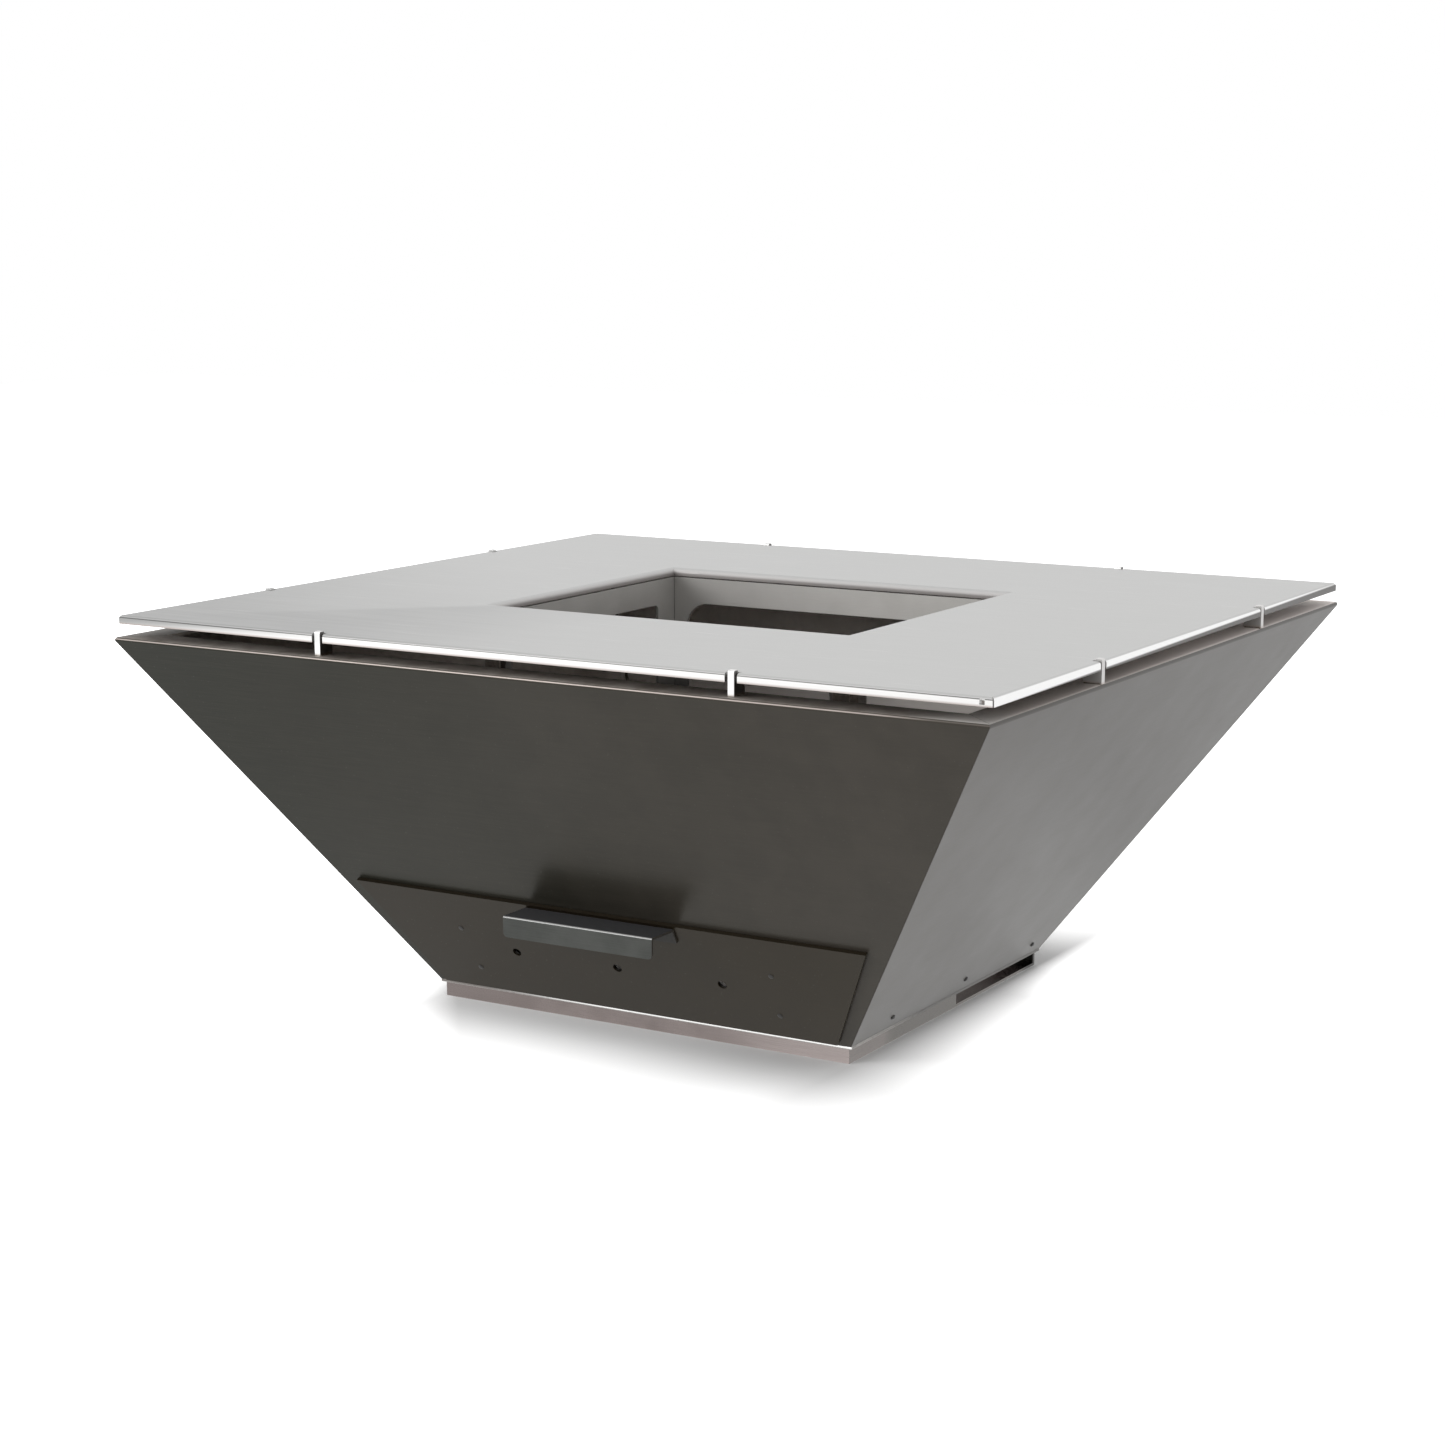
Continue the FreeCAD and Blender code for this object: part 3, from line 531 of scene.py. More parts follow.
# Painted shade on the sides away from the front, and nearly black at the right side's back end.
PLINTH_SIDE_SHADE = (0.15, 0.143, 0.134)
PLINTH_REAR_SHADE = (0.04, 0.038, 0.036)
PLINTH_WORN = (0.4, 0.36, 0.345)


def plinth_steel():
    """Drawn stainless strip with a rosy grey tone, partly a painted reflection of the floor. It is painted
    paler towards the right as light and duller at the left as shade. The sides are painted darker as shade,
    most of all away from the front, and the right side's back end is painted nearly black as shade."""
    steel = Finish("drawn_plinth_steel")
    x, y, _ = steel.across()
    facing_x, _, _ = steel.facing()
    brush = steel.noise(0.5 * MM, 2.0, LEVEL)
    clouds = steel.noise(50 * MM, 3.0)

    # Painted shade at the left and painted light at the right.
    shaded_at_left = x.eased(-0.24, -0.05, 1.0, 0.0)
    lit_at_right = x.eased(0.05, 0.2)
    on_side = facing_x.size().eased(0.4, 0.7)
    # Painted shade on the sides away from the front and at the right side's back end.
    back = (y + clouds * 0.03).eased(FOOT_FRONT + 30 * MM, FOOT_FRONT + 120 * MM)
    shaded_rear = y.eased(FOOT_BACK - 50 * MM, FOOT_BACK - 20 * MM) * x.eased(0.2, 0.24)
    tone = steel.layers(
        steel.mottled(clouds, PLINTH),
        (shaded_at_left, PLINTH_SHADED_LEFT),
        (lit_at_right, PLINTH_LIT_RIGHT),
        (brush.eased(*BRUSHED, 0.25), PLINTH_BRUSH),
        (on_side * back.most(0.7), PLINTH_SIDE_SHADE),
        (shaded_rear, PLINTH_REAR_SHADE),
        (steel.mark("edge") * (1 - shaded_rear) * 0.3, PLINTH_WORN),
    )
    roughness = 0.2 + clouds * 0.08 + brush * 0.05
    normal = steel.relief(brush, 0.006 * MM)
    return steel.surface(tone, roughness, normal)


# Tones of the firebox, and the heights up to which heat and soot have coloured it.
SHEET = ((0.55, 0.535, 0.51), (0.61, 0.595, 0.57))
SHEET_BRUSH = (0.42, 0.41, 0.39)
# Painted shade on faces that look right and on the cross walls towards the left.
SHEET_SHADE_FACING_RIGHT = (0.2, 0.2, 0.195)
SHEET_SHADE_AT_LEFT = (0.3, 0.29, 0.28)
HEAT_TINT = (0.30, 0.27, 0.25)
SOOT = (0.035, 0.032, 0.03)
SHEET_EDGE = (0.7, 0.69, 0.67)
OUTER_SKIN = ((0.13, 0.115, 0.105), (0.5, 0.48, 0.46))
SMOKED_FRONT = (0.03, 0.027, 0.024)
BURNT_EDGE = (0.03, 0.026, 0.023)
HEAT_LINE = (0.35, 0.385)
SOOT_LINE = (0.29, 0.355)


def firebox_sheet():
    """Cold-rolled sheet round the fire: satin at the top, heat tint and soot towards the bottom, and burnt
    edges. Faces that look to the right, and the cross walls towards the left, are painted darker as shade.
    The outer faces, turned from the fire, have a skin without gloss, dark at the left and grey at the right.
    Below its top strip, the inside by the front wall is smoked."""
    steel = Finish("firebox_sheet")
    x, y, z = steel.across()
    facing_x, facing_y, _ = steel.facing()
    edge = steel.mark("edge")
    brush = steel.noise(0.6 * MM, 2.0, run=(25.0, 25.0, 1.0))
    clouds = steel.noise(50 * MM, 4.0)
    lick = steel.noise(35 * MM, 4.0, run=(1.0, 1.0, 2.5), shift=4.0, wander=0.3)

    # Painted shade on faces that look right and on the cross walls towards the left.
    on_cross_walls = facing_x.size().eased(0.5, 0.9, 1.0, 0.0)
    shaded_at_left = x.eased(-0.22, 0.1, 0.6, 0.0) * on_cross_walls
    heat = (z + lick * 40.0 * MM).eased(*HEAT_LINE, 0.5, 0.0)
    soot = (z + lick * 30.0 * MM).eased(*SOOT_LINE, 1.0, 0.0)
    outer = (facing_x * x + facing_y * y).eased(0.04, 0.08)
    on_right_wall = x.eased(0.1, 0.2)
    by_front = y.eased(-0.13, -0.11, 1.0, 0.0) * z.eased(0.36, 0.375, 1.0, 0.0) * (1 - outer)
    tone = steel.layers(
        steel.mottled(clouds, SHEET),
        (brush.eased(*BRUSHED, 0.15), SHEET_BRUSH),
        (facing_x.eased(0.5, 0.9) * 0.3, SHEET_SHADE_FACING_RIGHT),
        (shaded_at_left, SHEET_SHADE_AT_LEFT),
        (heat, HEAT_TINT),
        (soot, SOOT),
        (edge * (1 - soot) * 0.4, SHEET_EDGE),
        (outer, steel.tint(on_right_wall, *OUTER_SKIN)),
        (by_front * 0.9, SMOKED_FRONT),
        (edge * 0.9, BURNT_EDGE),
    )

    roughness = 0.46 + soot * 0.35 + clouds * 0.06 + brush * 0.04
    normal = steel.relief(lick, 0.2 * MM)
    normal = steel.relief(brush, 0.01 * MM, normal)
    dark = outer.most(edge).most(by_front)
    metal = (0.6 - soot * 0.5) * (1 - dark)
    return steel.surface(tone, roughness, normal, metal)


MILL_SCALE = ((0.27, 0.255, 0.24), (0.4, 0.38, 0.36))
SCALE_FLAKE = (0.15, 0.14, 0.13)
# A painted highlight along the front edge, dull at the left and bright from the middle on.
SHEARED_FRONT_HIGHLIGHT = ((0.2, 0.185, 0.175), (0.97, 0.965, 0.955))
SHEARED_FROM = (16.5 * MM, 17.2 * MM)
SHADED_END = (0.16, 0.155, 0.147)
SCALE_WORN = (0.6, 0.59, 0.57)


def floor_steel():
    """Structural steel as it leaves the mill: grey scale on the faces, darker at the two ends as painted
    shade, and a sheared front edge with a painted highlight that is dull at the left and bright from the
    middle on."""
    steel = Finish("mill_steel_floor")
    x, y, z = steel.across()
    clouds = steel.noise(60 * MM, 5.0, rough=0.6)
    scale = steel.noise(7 * MM, 4.0, shift=2.0, rough=0.6)
    flakes = scale.eased(0.58, 0.66)

    # A painted highlight along the front edge.
    highlit_front_edge = y.eased(FOOT_FRONT + 1 * MM, FOOT_FRONT + 2 * MM, 1.0, 0.0) * z.eased(*SHEARED_FROM)
    paler_to_the_middle = (x + clouds * 0.05).eased(-0.18, 0.0)
    ends = y.eased(FOOT_FRONT + 60 * MM, FOOT_FRONT + 160 * MM) * x.size().eased(0.235, 0.245)
    tone = steel.layers(
        steel.mottled(clouds, MILL_SCALE),
        (flakes * 0.5, SCALE_FLAKE),
        (highlit_front_edge, steel.tint(paler_to_the_middle, *SHEARED_FRONT_HIGHLIGHT)),
        (ends, SHADED_END),
        (steel.mark("edge") * (1 - ends) * (1 - highlit_front_edge) * 0.5, SCALE_WORN),
    )
    roughness = 0.36 + clouds * 0.12 + flakes * 0.15 - highlit_front_edge * 0.15
    normal = steel.relief(scale, 0.04 * MM)
    return steel.surface(tone, roughness, normal, 0.3 + highlit_front_edge * 0.7)


TRAY = ((0.05, 0.047, 0.044), (0.09, 0.086, 0.082))
ASH_DUST = (0.40, 0.39, 0.37)
TRAY_WORN = (0.4, 0.4, 0.39)


def tray_sheet():
    """Plain sheet of the ash tray, with pale ash dust where it can lie, and little of it at the front."""
    steel = Finish("dusty_tray_sheet")
    _, y, z = steel.across()
    _, _, up = steel.facing()
    clouds = steel.noise(50 * MM, 4.0)
    fine = steel.noise(2 * MM, 3.0, shift=6.0)

    lying = up.eased(0.5, 0.95)
    low = z.eased(24 * MM, 60 * MM, 1.0, 0.25)
    past_front = y.eased(-0.2, -0.1, 0.1, 1.0)
    dust = (lying * 0.9 + low * 0.35) * clouds.eased(0.32, 0.62, 0.15, 1.0) * past_front
    dust = (dust * fine.eased(0.25, 0.6, 0.55, 1.0)).least(1.0)
    wear = steel.mark("edge") * (1 - dust) * y.eased(-0.2, -0.18) * 0.7
    tone = steel.layers(
        steel.mottled(clouds, TRAY),
        (dust, ASH_DUST),
        (wear, TRAY_WORN),
    )
    roughness = 0.38 + dust * 0.5 + fine * 0.05
    normal = steel.relief(fine, 0.08 * MM)
    return steel.surface(tone, roughness, normal, 1 - dust)


BLACK_IRON = ((0.022, 0.020, 0.019), (0.05, 0.046, 0.044))
RUST = (0.13, 0.058, 0.028)
GREY_ASH = (0.32, 0.31, 0.295)


def grate_iron():
    """Fire-blackened iron with scale, a little rust where the scale has come off, and ash on top."""
    iron = Finish("blackened_grate_iron")
    _, _, up = iron.facing()
    clouds = iron.noise(30 * MM, 4.0)
    scale = iron.noise(5 * MM, 5.0, shift=3.0, rough=0.65)

    rust = (clouds * 0.5 + scale * 0.5).eased(0.52, 0.62)
    tone = iron.tint(rust * 0.7, iron.mottled(clouds, BLACK_IRON), RUST)
    ash = up.eased(0.6, 1.0) * clouds.eased(0.5, 0.7)
    tone = iron.tint(ash * 0.6, tone, GREY_ASH)
    roughness = 0.55 + scale * 0.2 + ash * 0.15
    normal = iron.relief(scale, 0.35 * MM)
    return iron.surface(tone, roughness, normal, 0.35)


def plain_steel(name, tones, roughness):
    """Dull steel with worn high places, for screws, nuts, rivets, and the firebox's legs and ledges."""
    steel = Finish(name)
    clouds = steel.noise(4 * MM, 3.0)
    fine = steel.noise(0.5 * MM, 2.0)
    tone = steel.tint(steel.mark("edge") * 0.6, steel.mottled(clouds, tones), times(tones[1], 2.2))
    normal = steel.relief(fine, 0.01 * MM)
    return steel.surface(tone, roughness + clouds * 0.12, normal, 0.0)


WELD = ((0.13, 0.105, 0.08), (0.27, 0.245, 0.22))


def weld_metal():
    """Weld bead: dull grey with straw and brown heat colours."""
    steel = Finish("weld_metal")
    clouds = steel.noise(6 * MM, 3.0)
    fine = steel.noise(0.8 * MM, 3.0)
    tone = steel.mottled(clouds, WELD)
    normal = steel.relief(fine, 0.05 * MM)
    return steel.surface(tone, 0.36 + fine * 0.2, normal)


# Tones of the coats at the left and at the right; on every coat the rise towards the right is painted light.
COAT_SHADED_LEFT = (0.008, 0.010, 0.006)
COAT_LIT_RIGHT = (0.046, 0.040, 0.033)
coat_along_x = satin_coat("satin_coat_front", COAT_SHADED_LEFT, COAT_LIT_RIGHT, ALONG_X, edge_wear_and_shade=(0.10, 0.09, 0.085),
                          warmth=(1.0, 0.97, 0.88), ior=1.32, bend_highlight_share=0.6)
coat_along_y = satin_coat("satin_coat_side", COAT_SHADED_LEFT, COAT_LIT_RIGHT, ALONG_Y, edge_wear_and_shade=(0.12, 0.105, 0.10),
                          warmth=(1.0, 1.0, 0.99), ior=1.47)
# The drawer's near-black edge tone is painted shade for the gaps round the panel.
coat_drawer = satin_coat("satin_coat_drawer", (0.007, 0.004, 0.001), (0.019, 0.014, 0.008), ALONG_X,
                         edge_wear_and_shade=(0.002, 0.002, 0.002), warmth=(1.0, 0.94, 0.80), ior=1.34, bare_inside=0.0)
handle_finish = handle_coat()
plate_finish = plate_steel()
lug_finish = lug_steel()
plinth_finish = plinth_steel()
firebox_finish = firebox_sheet()
floor_finish = floor_steel()
tray_finish = tray_sheet()
iron_finish = grate_iron()
screw_finish = plain_steel("black_screw_steel", ((0.022, 0.022, 0.021), (0.04, 0.039, 0.037)), 0.28)
rivet_finish = plain_steel("dark_rivet_steel", ((0.006, 0.005, 0.004), (0.012, 0.010, 0.008)), 0.4)
# The legs and ledges are painted pale as light, lifting the shade they stand in.
lit_leg_finish = plain_steel("firebox_leg_steel", ((0.38, 0.34, 0.31), (0.48, 0.435, 0.40)), 0.5)
weld_finish = weld_metal()


# ------------------------------------------------------------ sheet-metal pieces

SMOOTH_COSINE = math.cos(math.radians(38))  # faces that meet at less than this angle shade as one
SHARP_ANGLE = math.radians(28)  # edges above this angle are eased
FLAT_ANGLE = math.radians(0.6)  # faces below this angle are joined up
SAME_PLACE = 1e-6
EASING_STEPS = 2
BROAD_SIDE = 0.7  # how squarely a broad side of a lug looks across it
body_of_node = {}
for body, members in frame["record"]["behaviour"]["bodies"].items():
    for member in members:
        body_of_node[member] = body


def merged(node):
    """A copy of a CAD node's mesh with its triangles joined up."""
    mesh = bmesh.new()
    mesh.from_mesh(frame["nodes"][node].data)
    bmesh.ops.remove_doubles(mesh, verts=mesh.verts, dist=SAME_PLACE)
    bmesh.ops.dissolve_limit(mesh, angle_limit=FLAT_ANGLE, verts=mesh.verts, edges=mesh.edges)
    return mesh


def ease_edges(mesh, width, keep=None):
    """Rounds the sharp edges a little, apart from those to keep, and marks the rounding for the finish."""
    edge_mark = mesh.faces.layers.float.new("edge")
    sharp = [edge for edge in mesh.edges
             if len(edge.link_faces) == 2 and edge.calc_face_angle() > SHARP_ANGLE
             and not (keep and keep(edge))]
    rounded = bmesh.ops.bevel(mesh, geom=sharp, offset=width, offset_type="OFFSET",
                              segments=EASING_STEPS, profile=0.5, affect="EDGES", clamp_overlap=True)
    for face in rounded["faces"]:
        face[edge_mark] = 1.0


def shade(mesh, partner=None):
    """Smooth across bends and eased edges, flat on the broad faces. partner gives the normal that a
    neighbouring piece has at the same place."""
    around = [[] for vertex in mesh.vertices]
    for face in mesh.polygons:
        for vertex in face.vertices:
            around[vertex].append((face.normal.copy(), face.area))
    normals = [None] * len(mesh.loops)
    for face in mesh.polygons:
        own = face.normal
        for loop in face.loop_indices:
            vertex = mesh.loops[loop].vertex_index
            total = Vector()
            for normal, area in around[vertex]:
                if normal.dot(own) > SMOOTH_COSINE:
                    total += normal * area
            total.normalize()
            if partner:
                total += partner(mesh.vertices[vertex].co, own)
                total.normalize()
            normals[loop] = total
    for face in mesh.polygons:
        face.use_smooth = True
    mesh.normals_split_custom_set(normals)


def piece(name, mesh_data, finish, body, nodes):
    """A finished piece that rides on a body and stands for the CAD nodes named."""
    made = bpy.data.objects.new(name, mesh_data)
    bpy.context.scene.collection.objects.link(made)
    made.data.materials.clear()
    made.data.materials.append(finish)
    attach(made, body)
    if nodes:
        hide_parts(*nodes)


def lug_side(node, normal):
    """True on a lug's two broad sides."""
    if not node.startswith("plate_lug"):
        return False
    across_lug = normal.x if ("front" in node or "back" in node) else normal.y
    return abs(across_lug) > BROAD_SIDE


def sheet_piece(node, finish, easing):
    """One sheet-metal part with its sharp edges eased."""
    mesh = merged(node)
    ease_edges(mesh, easing)
    broad_mark = mesh.faces.layers.float.new("broad")
    for face in mesh.faces:
        face[broad_mark] = 1.0 if lug_side(node, face.normal) else 0.0
    data = bpy.data.meshes.new(node + "_sheet")
    mesh.to_mesh(data)
    mesh.free()
    shade(data)
    piece(node + "_sheet", data, finish, body_of_node[node], [node])


def each(pattern, *places):
    """The names that a pattern gives for each place, such as plinth_front and plinth_back."""
    return [pattern.format(place) for place in places]


BOTH = ("left", "right")
SIDES = ("front", "back", "left", "right")
CORNERS = ("front_left", "front_right", "back_left", "back_right")
LUGS = [f"plate_lug_{side}_{number}" for side in SIDES for number in (1, 2)]

# Nodes, their finish, their material slot and the width of their eased edges in millimetres.
SHEETS = (
    (["cooking_plate"], plate_finish, "plate_steel", 0.5),
    (LUGS, lug_finish, "lug_steel", 0.5),
    (each("plinth_{}", *SIDES), plinth_finish, "plinth_steel", 0.4),
    (each("firebox_{}_wall", *SIDES), firebox_finish, "firebox_steel", 0.35),
    (each("firebox_leg_{}", *CORNERS) + each("grate_ledge_{}", *SIDES), lit_leg_finish, "firebox_steel", 0.35),
    (["floor_plate"] + each("floor_angle_{}", "back", *BOTH) + each("drawer_runner_{}", *BOTH), floor_finish,
     "floor_steel", 0.7),
    (["ash_tray"] + each("drawer_stop_{}", *BOTH), tray_finish, "tray_steel", 0.3),
    (["drawer_front"], coat_drawer, "drawer_steel", 0.4),
    (["drawer_handle"], handle_finish, "drawer_steel", 0.4),
    (["grate_frame"], iron_finish, "grate_iron", 0.6),
)
for nodes, finish, node_slot, easing in SHEETS:
    for node in nodes:
        sheet_piece(node, finish, easing * MM)


# ------------------------------------------------------------ bowl walls, ground smooth at the mitres

WALLS = ("bowl_front_wall", "bowl_right_wall", "bowl_back_wall", "bowl_left_wall")
MITRE_ROUND = 2.2 * MM
WALL_EASING = 0.5 * MM
CUT_SLACK = 1e-7
BEAD_INSET = 0.01  # how far a corner bead stops short of each end, as a share of the mitre


def outward(place, normal):
    """True for a normal at a place on a wall that points away from the bowl's middle."""
    return normal.dot(Vector((place.x, place.y, 0.0)).normalized()) > 0.3


def faces_inside(face):
    """True for the sloping inner face of a wall, which looks up a little and towards the middle."""
    centre = face.calc_center_median()
    towards_middle = -(face.normal.x * centre.x + face.normal.y * centre.y)
    return 0.2 < face.normal.z < 0.8 and towards_middle > 0.05


def key(place):
    """A place rounded to a hundredth of a millimetre, the same for two walls that meet there."""
    return tuple(round(part / MM, 2) for part in place)


# The places that two walls share, and the outer normals that each wall has there.
wall_meshes = {name: merged(name) for name in WALLS}
mitre_places = {}
for name, mesh in wall_meshes.items():
    for vertex in mesh.verts:
        mitre_places.setdefault(key(vertex.co), set()).add(name)
mitre_places = {place for place, names in mitre_places.items() if len(names) > 1}
outer_normals = {}
for name, mesh in wall_meshes.items():
    for vertex in mesh.verts:
        place = key(vertex.co)
        if place in mitre_places:
            total = Vector()
            for face in vertex.link_faces:
                if outward(vertex.co, face.normal):
                    total += face.normal * face.calc_area()
            if total.length:
                outer_normals.setdefault(place, {})[name] = total.normalized()

# The inner line of each mitre, from its foot to its top.
inner_mitres = []
for side_x in (-1, 1):
    for wall in ("bowl_front_wall", "bowl_back_wall"):
        line = []
        for vertex in wall_meshes[wall].verts:
            on_corner = key(vertex.co) in mitre_places and vertex.co.x * side_x > 0
            if on_corner and any(faces_inside(face) for face in vertex.link_faces):
                line.append(vertex.co.copy())
        line.sort(key=lambda place: place.z)
        inner_mitres.append((line[0].lerp(line[-1], BEAD_INSET), line[0].lerp(line[-1], 1 - BEAD_INSET)))


def on_mitre(part):
    """True for an edge or a face that two walls share."""
    return all(key(vertex.co) in mitre_places for vertex in part.verts)


# Each wall is cut back a little along its mitres, so that the corner shows as one ground bend.
for name, mesh in wall_meshes.items():
    for face in list(mesh.faces):
        if face.is_valid and on_mitre(face):
            centre = face.calc_center_median()
            normal = face.normal.copy()
            bmesh.ops.bisect_plane(mesh, geom=mesh.verts[:] + mesh.edges[:] + mesh.faces[:],
                                   plane_co=centre - normal * MITRE_ROUND, plane_no=normal, dist=CUT_SLACK)
    mesh.normal_update()
    ease_edges(mesh, WALL_EASING, on_mitre)
    data = bpy.data.meshes.new(name + "_sheet")
    mesh.to_mesh(data)
    mesh.free()

    def neighbour(place, normal, own=name):
        """The normal that the other wall of a mitre has at a place on its outside."""
        found = outer_normals.get(key(place), {})
        others = [found[other] for other in found if other != own]
        if others and outward(place, normal):
            return others[0]
        return Vector()

    shade(data, neighbour)
    finish = coat_along_x if name in ("bowl_front_wall", "bowl_back_wall") else coat_along_y
    piece(name + "_sheet", data, finish, "pit", [name])


# ------------------------------------------------------------ turned parts: rivets, screws and nuts

class Steps(Tree):
    """A geometry tree with named inputs."""

    def __init__(self, name):
        super().__init__(bpy.data.node_groups.new(name, "GeometryNodeTree"))
        for way in ("OUTPUT", "INPUT"):
            self.tree.interface.new_socket("Geometry", in_out=way, socket_type="NodeSocketGeometry")
        self.given = self.tree.nodes.new("NodeGroupInput")
        self.result = self.tree.nodes.new("NodeGroupOutput")

    def size(self, name, value):
        """A named number that the modifier can set."""
        socket = self.tree.interface.new_socket(name, in_out="INPUT", socket_type="NodeSocketFloat")
        socket.default_value = value
        return Val(self, self.given.outputs[name])

    def finish_input(self):
        self.tree.interface.new_socket("Finish", in_out="INPUT", socket_type="NodeSocketMaterial")
        return Val(self, self.given.outputs["Finish"])

    def geometry(self):
        return Val(self, self.given.outputs["Geometry"])

    def vector(self, x, y, z):
        return self.node("ShaderNodeCombineXYZ", None, {0: x, 1: y, 2: z})

    def give(self, shape, finish):
        shape = self.node("GeometryNodeRealizeInstances", None, {0: shape})
        shape = self.node("GeometryNodeSetMaterial", None, {"Geometry": shape, "Material": finish})
        self.tree.links.new(shape.socket, self.result.inputs[0])


def built(name, places, axes, steps, sizes, finish):
    """Runs a tree on a set of places, each with its axis, and returns the plain mesh."""
    seed = bpy.data.meshes.new(name + "_places")
    seed.from_pydata([tuple(place) for place in places], [], [])
    axis = seed.attributes.new("axis", "FLOAT_VECTOR", "POINT")
    axis.data.foreach_set("vector", [part for line in axes for part in line])
    holder = bpy.data.objects.new(name + "_places", seed)
    bpy.context.scene.collection.objects.link(holder)
    modifier = holder.modifiers.new("Build", "NODES")
    modifier.node_group = steps.tree
    given = {**sizes, "Finish": finish}
    for item in steps.tree.interface.items_tree:
        if item.in_out == "INPUT" and item.name in given:
            modifier[item.identifier] = given[item.name]
    evaluated = holder.evaluated_get(bpy.context.evaluated_depsgraph_get())
    data = bpy.data.meshes.new_from_object(evaluated)
    data.name = name
    bpy.data.objects.remove(holder)
    return data


def turned_steps(name, stops, sides):
    """Turns a profile round each place's axis. A stop is (height, radius, how hexagonal) in shares
    of the part's length and widest radius."""
    steps = Steps(name)
    length = steps.size("Length", 10 * MM)
    widest = steps.size("Widest Radius", 5 * MM)
    finish = steps.finish_input()
    last = len(stops) - 1
    # The sheet is 1 m square about the origin. Its x follows the profile and its y goes round the axis.
    sheet = steps.node("GeometryNodeMeshGrid", None,
                       {"Size X": 1.0, "Size Y": 1.0, "Vertices X": len(stops), "Vertices Y": sides + 1})
    place = steps.node("ShaderNodeSeparateXYZ", None, {0: steps.node("GeometryNodeInputPosition")})
    along = place + 0.5
    angle = (place.part("Y") + 0.5) * (2 * math.pi)
    curves = []
    for column in range(3):
        line = [(index / last, stop[column]) for index, stop in enumerate(stops)]
        curves.append(steps.node("ShaderNodeFloatCurve", {"curve": line}, {"Value": along}))
    rise, reach, hexagonal = curves
    sixth, half_sixth = math.pi / 3, math.pi / 6
    flat_side = math.cos(half_sixth) / (angle.wrapped(sixth) - half_sixth).cosine()
    radius = reach * widest * (1 + (flat_side - 1) * hexagonal)
    spot = steps.vector(radius * angle.cosine(), radius * angle.sine(), rise * length)
    sheet = steps.node("GeometryNodeSetPosition", None, {"Geometry": sheet, "Position": spot})
    sheet = steps.node("GeometryNodeMergeByDistance", None, {"Geometry": sheet, "Distance": SAME_PLACE})
    axis = steps.node("GeometryNodeInputNamedAttribute", {"data_type": "FLOAT_VECTOR"}, {"Name": "axis"})
    turn = steps.node("FunctionNodeAlignRotationToVector", {"axis": "Z"}, {"Vector": axis})
    parts = steps.node("GeometryNodeInstanceOnPoints", None,
                       {"Points": steps.geometry(), "Instance": sheet, "Rotation": turn})
    steps.give(parts, finish)
    return steps


def profile(points):
    """Shares of length and widest radius from (height, radius, hexagonal) in millimetres."""
    length = max(point[0] for point in points)
    widest = max(point[1] for point in points)
    shares = [(height / length, radius / widest, hexagonal) for height, radius, hexagonal in points]
    return shares, length * MM, widest * MM


def close_up(data):
    """Turns the faces of finished turned parts outwards and shades them."""
    mesh = bmesh.new()
    mesh.from_mesh(data)
    bmesh.ops.recalc_face_normals(mesh, faces=mesh.faces)
    mesh.to_mesh(data)
    mesh.free()
    shade(data)


def solids(node):
    """(middle, outward axis, reach along it from the middle) of each turned solid in a node. An axis that
    points neither in nor out goes the way its coordinates grow."""
    mesh = merged(node)
    met = set()
    found = []
    for first in mesh.verts:
        if first in met:
            continue
        met.add(first)
        group = [first]
        for vertex in group:
            for edge in vertex.link_edges:
                other = edge.other_vert(vertex)
                if other not in met:
                    met.add(other)
                    group.append(other)
        spread = np.zeros((3, 3))
        for face in dict.fromkeys(face for vertex in group for face in vertex.link_faces):
            normal = np.array(face.normal)
            spread += face.calc_area() * np.outer(normal, normal)
        # Round a turned solid's axis the area faces alike to all sides. The third direction is the axis.
        values, vectors = np.linalg.eigh(spread)
        axis = vectors[:, 0 if values[1] - values[0] > values[2] - values[1] else 2]
        points = np.array([vertex.co for vertex in group])
        middle = (points.min(0) + points.max(0)) / 2
        outwards = axis @ (middle * np.array([1.0, 1.0, 0.0]))
        if outwards < -SAME_PLACE or (outwards < SAME_PLACE and axis.sum() < 0):
            axis = -axis
        found.append((Vector(middle), Vector(axis), ((points - middle) @ axis).max()))
    mesh.free()
    return found


def rivet(grip):
    """A rivet from its flat tail, through sheets of a total thickness grip, to its domed head, as
    (height, radius, hexagonal) in millimetres."""
    tail, shank = 0.9, 1.6
    head = grip + tail
    return [
        (0.0, 0.0, 0), (0.0, 2.2, 0), (0.3, 2.5, 0), (tail, 2.5, 0), (tail, shank, 0), (2.0, shank, 0),
        (head - 1.0, shank, 0), (head, shank, 0), (head, 3.0, 0), (head + 0.22, 3.0, 0),
        (head + 0.42, 2.86, 0), (head + 0.6, 2.6, 0), (head + 0.74, 2.2, 0), (head + 0.83, 1.7, 0),
        (head + 0.88, 1.1, 0), (head + 0.9, 0.5, 0), (head + 0.9, 0.0, 0),
    ]


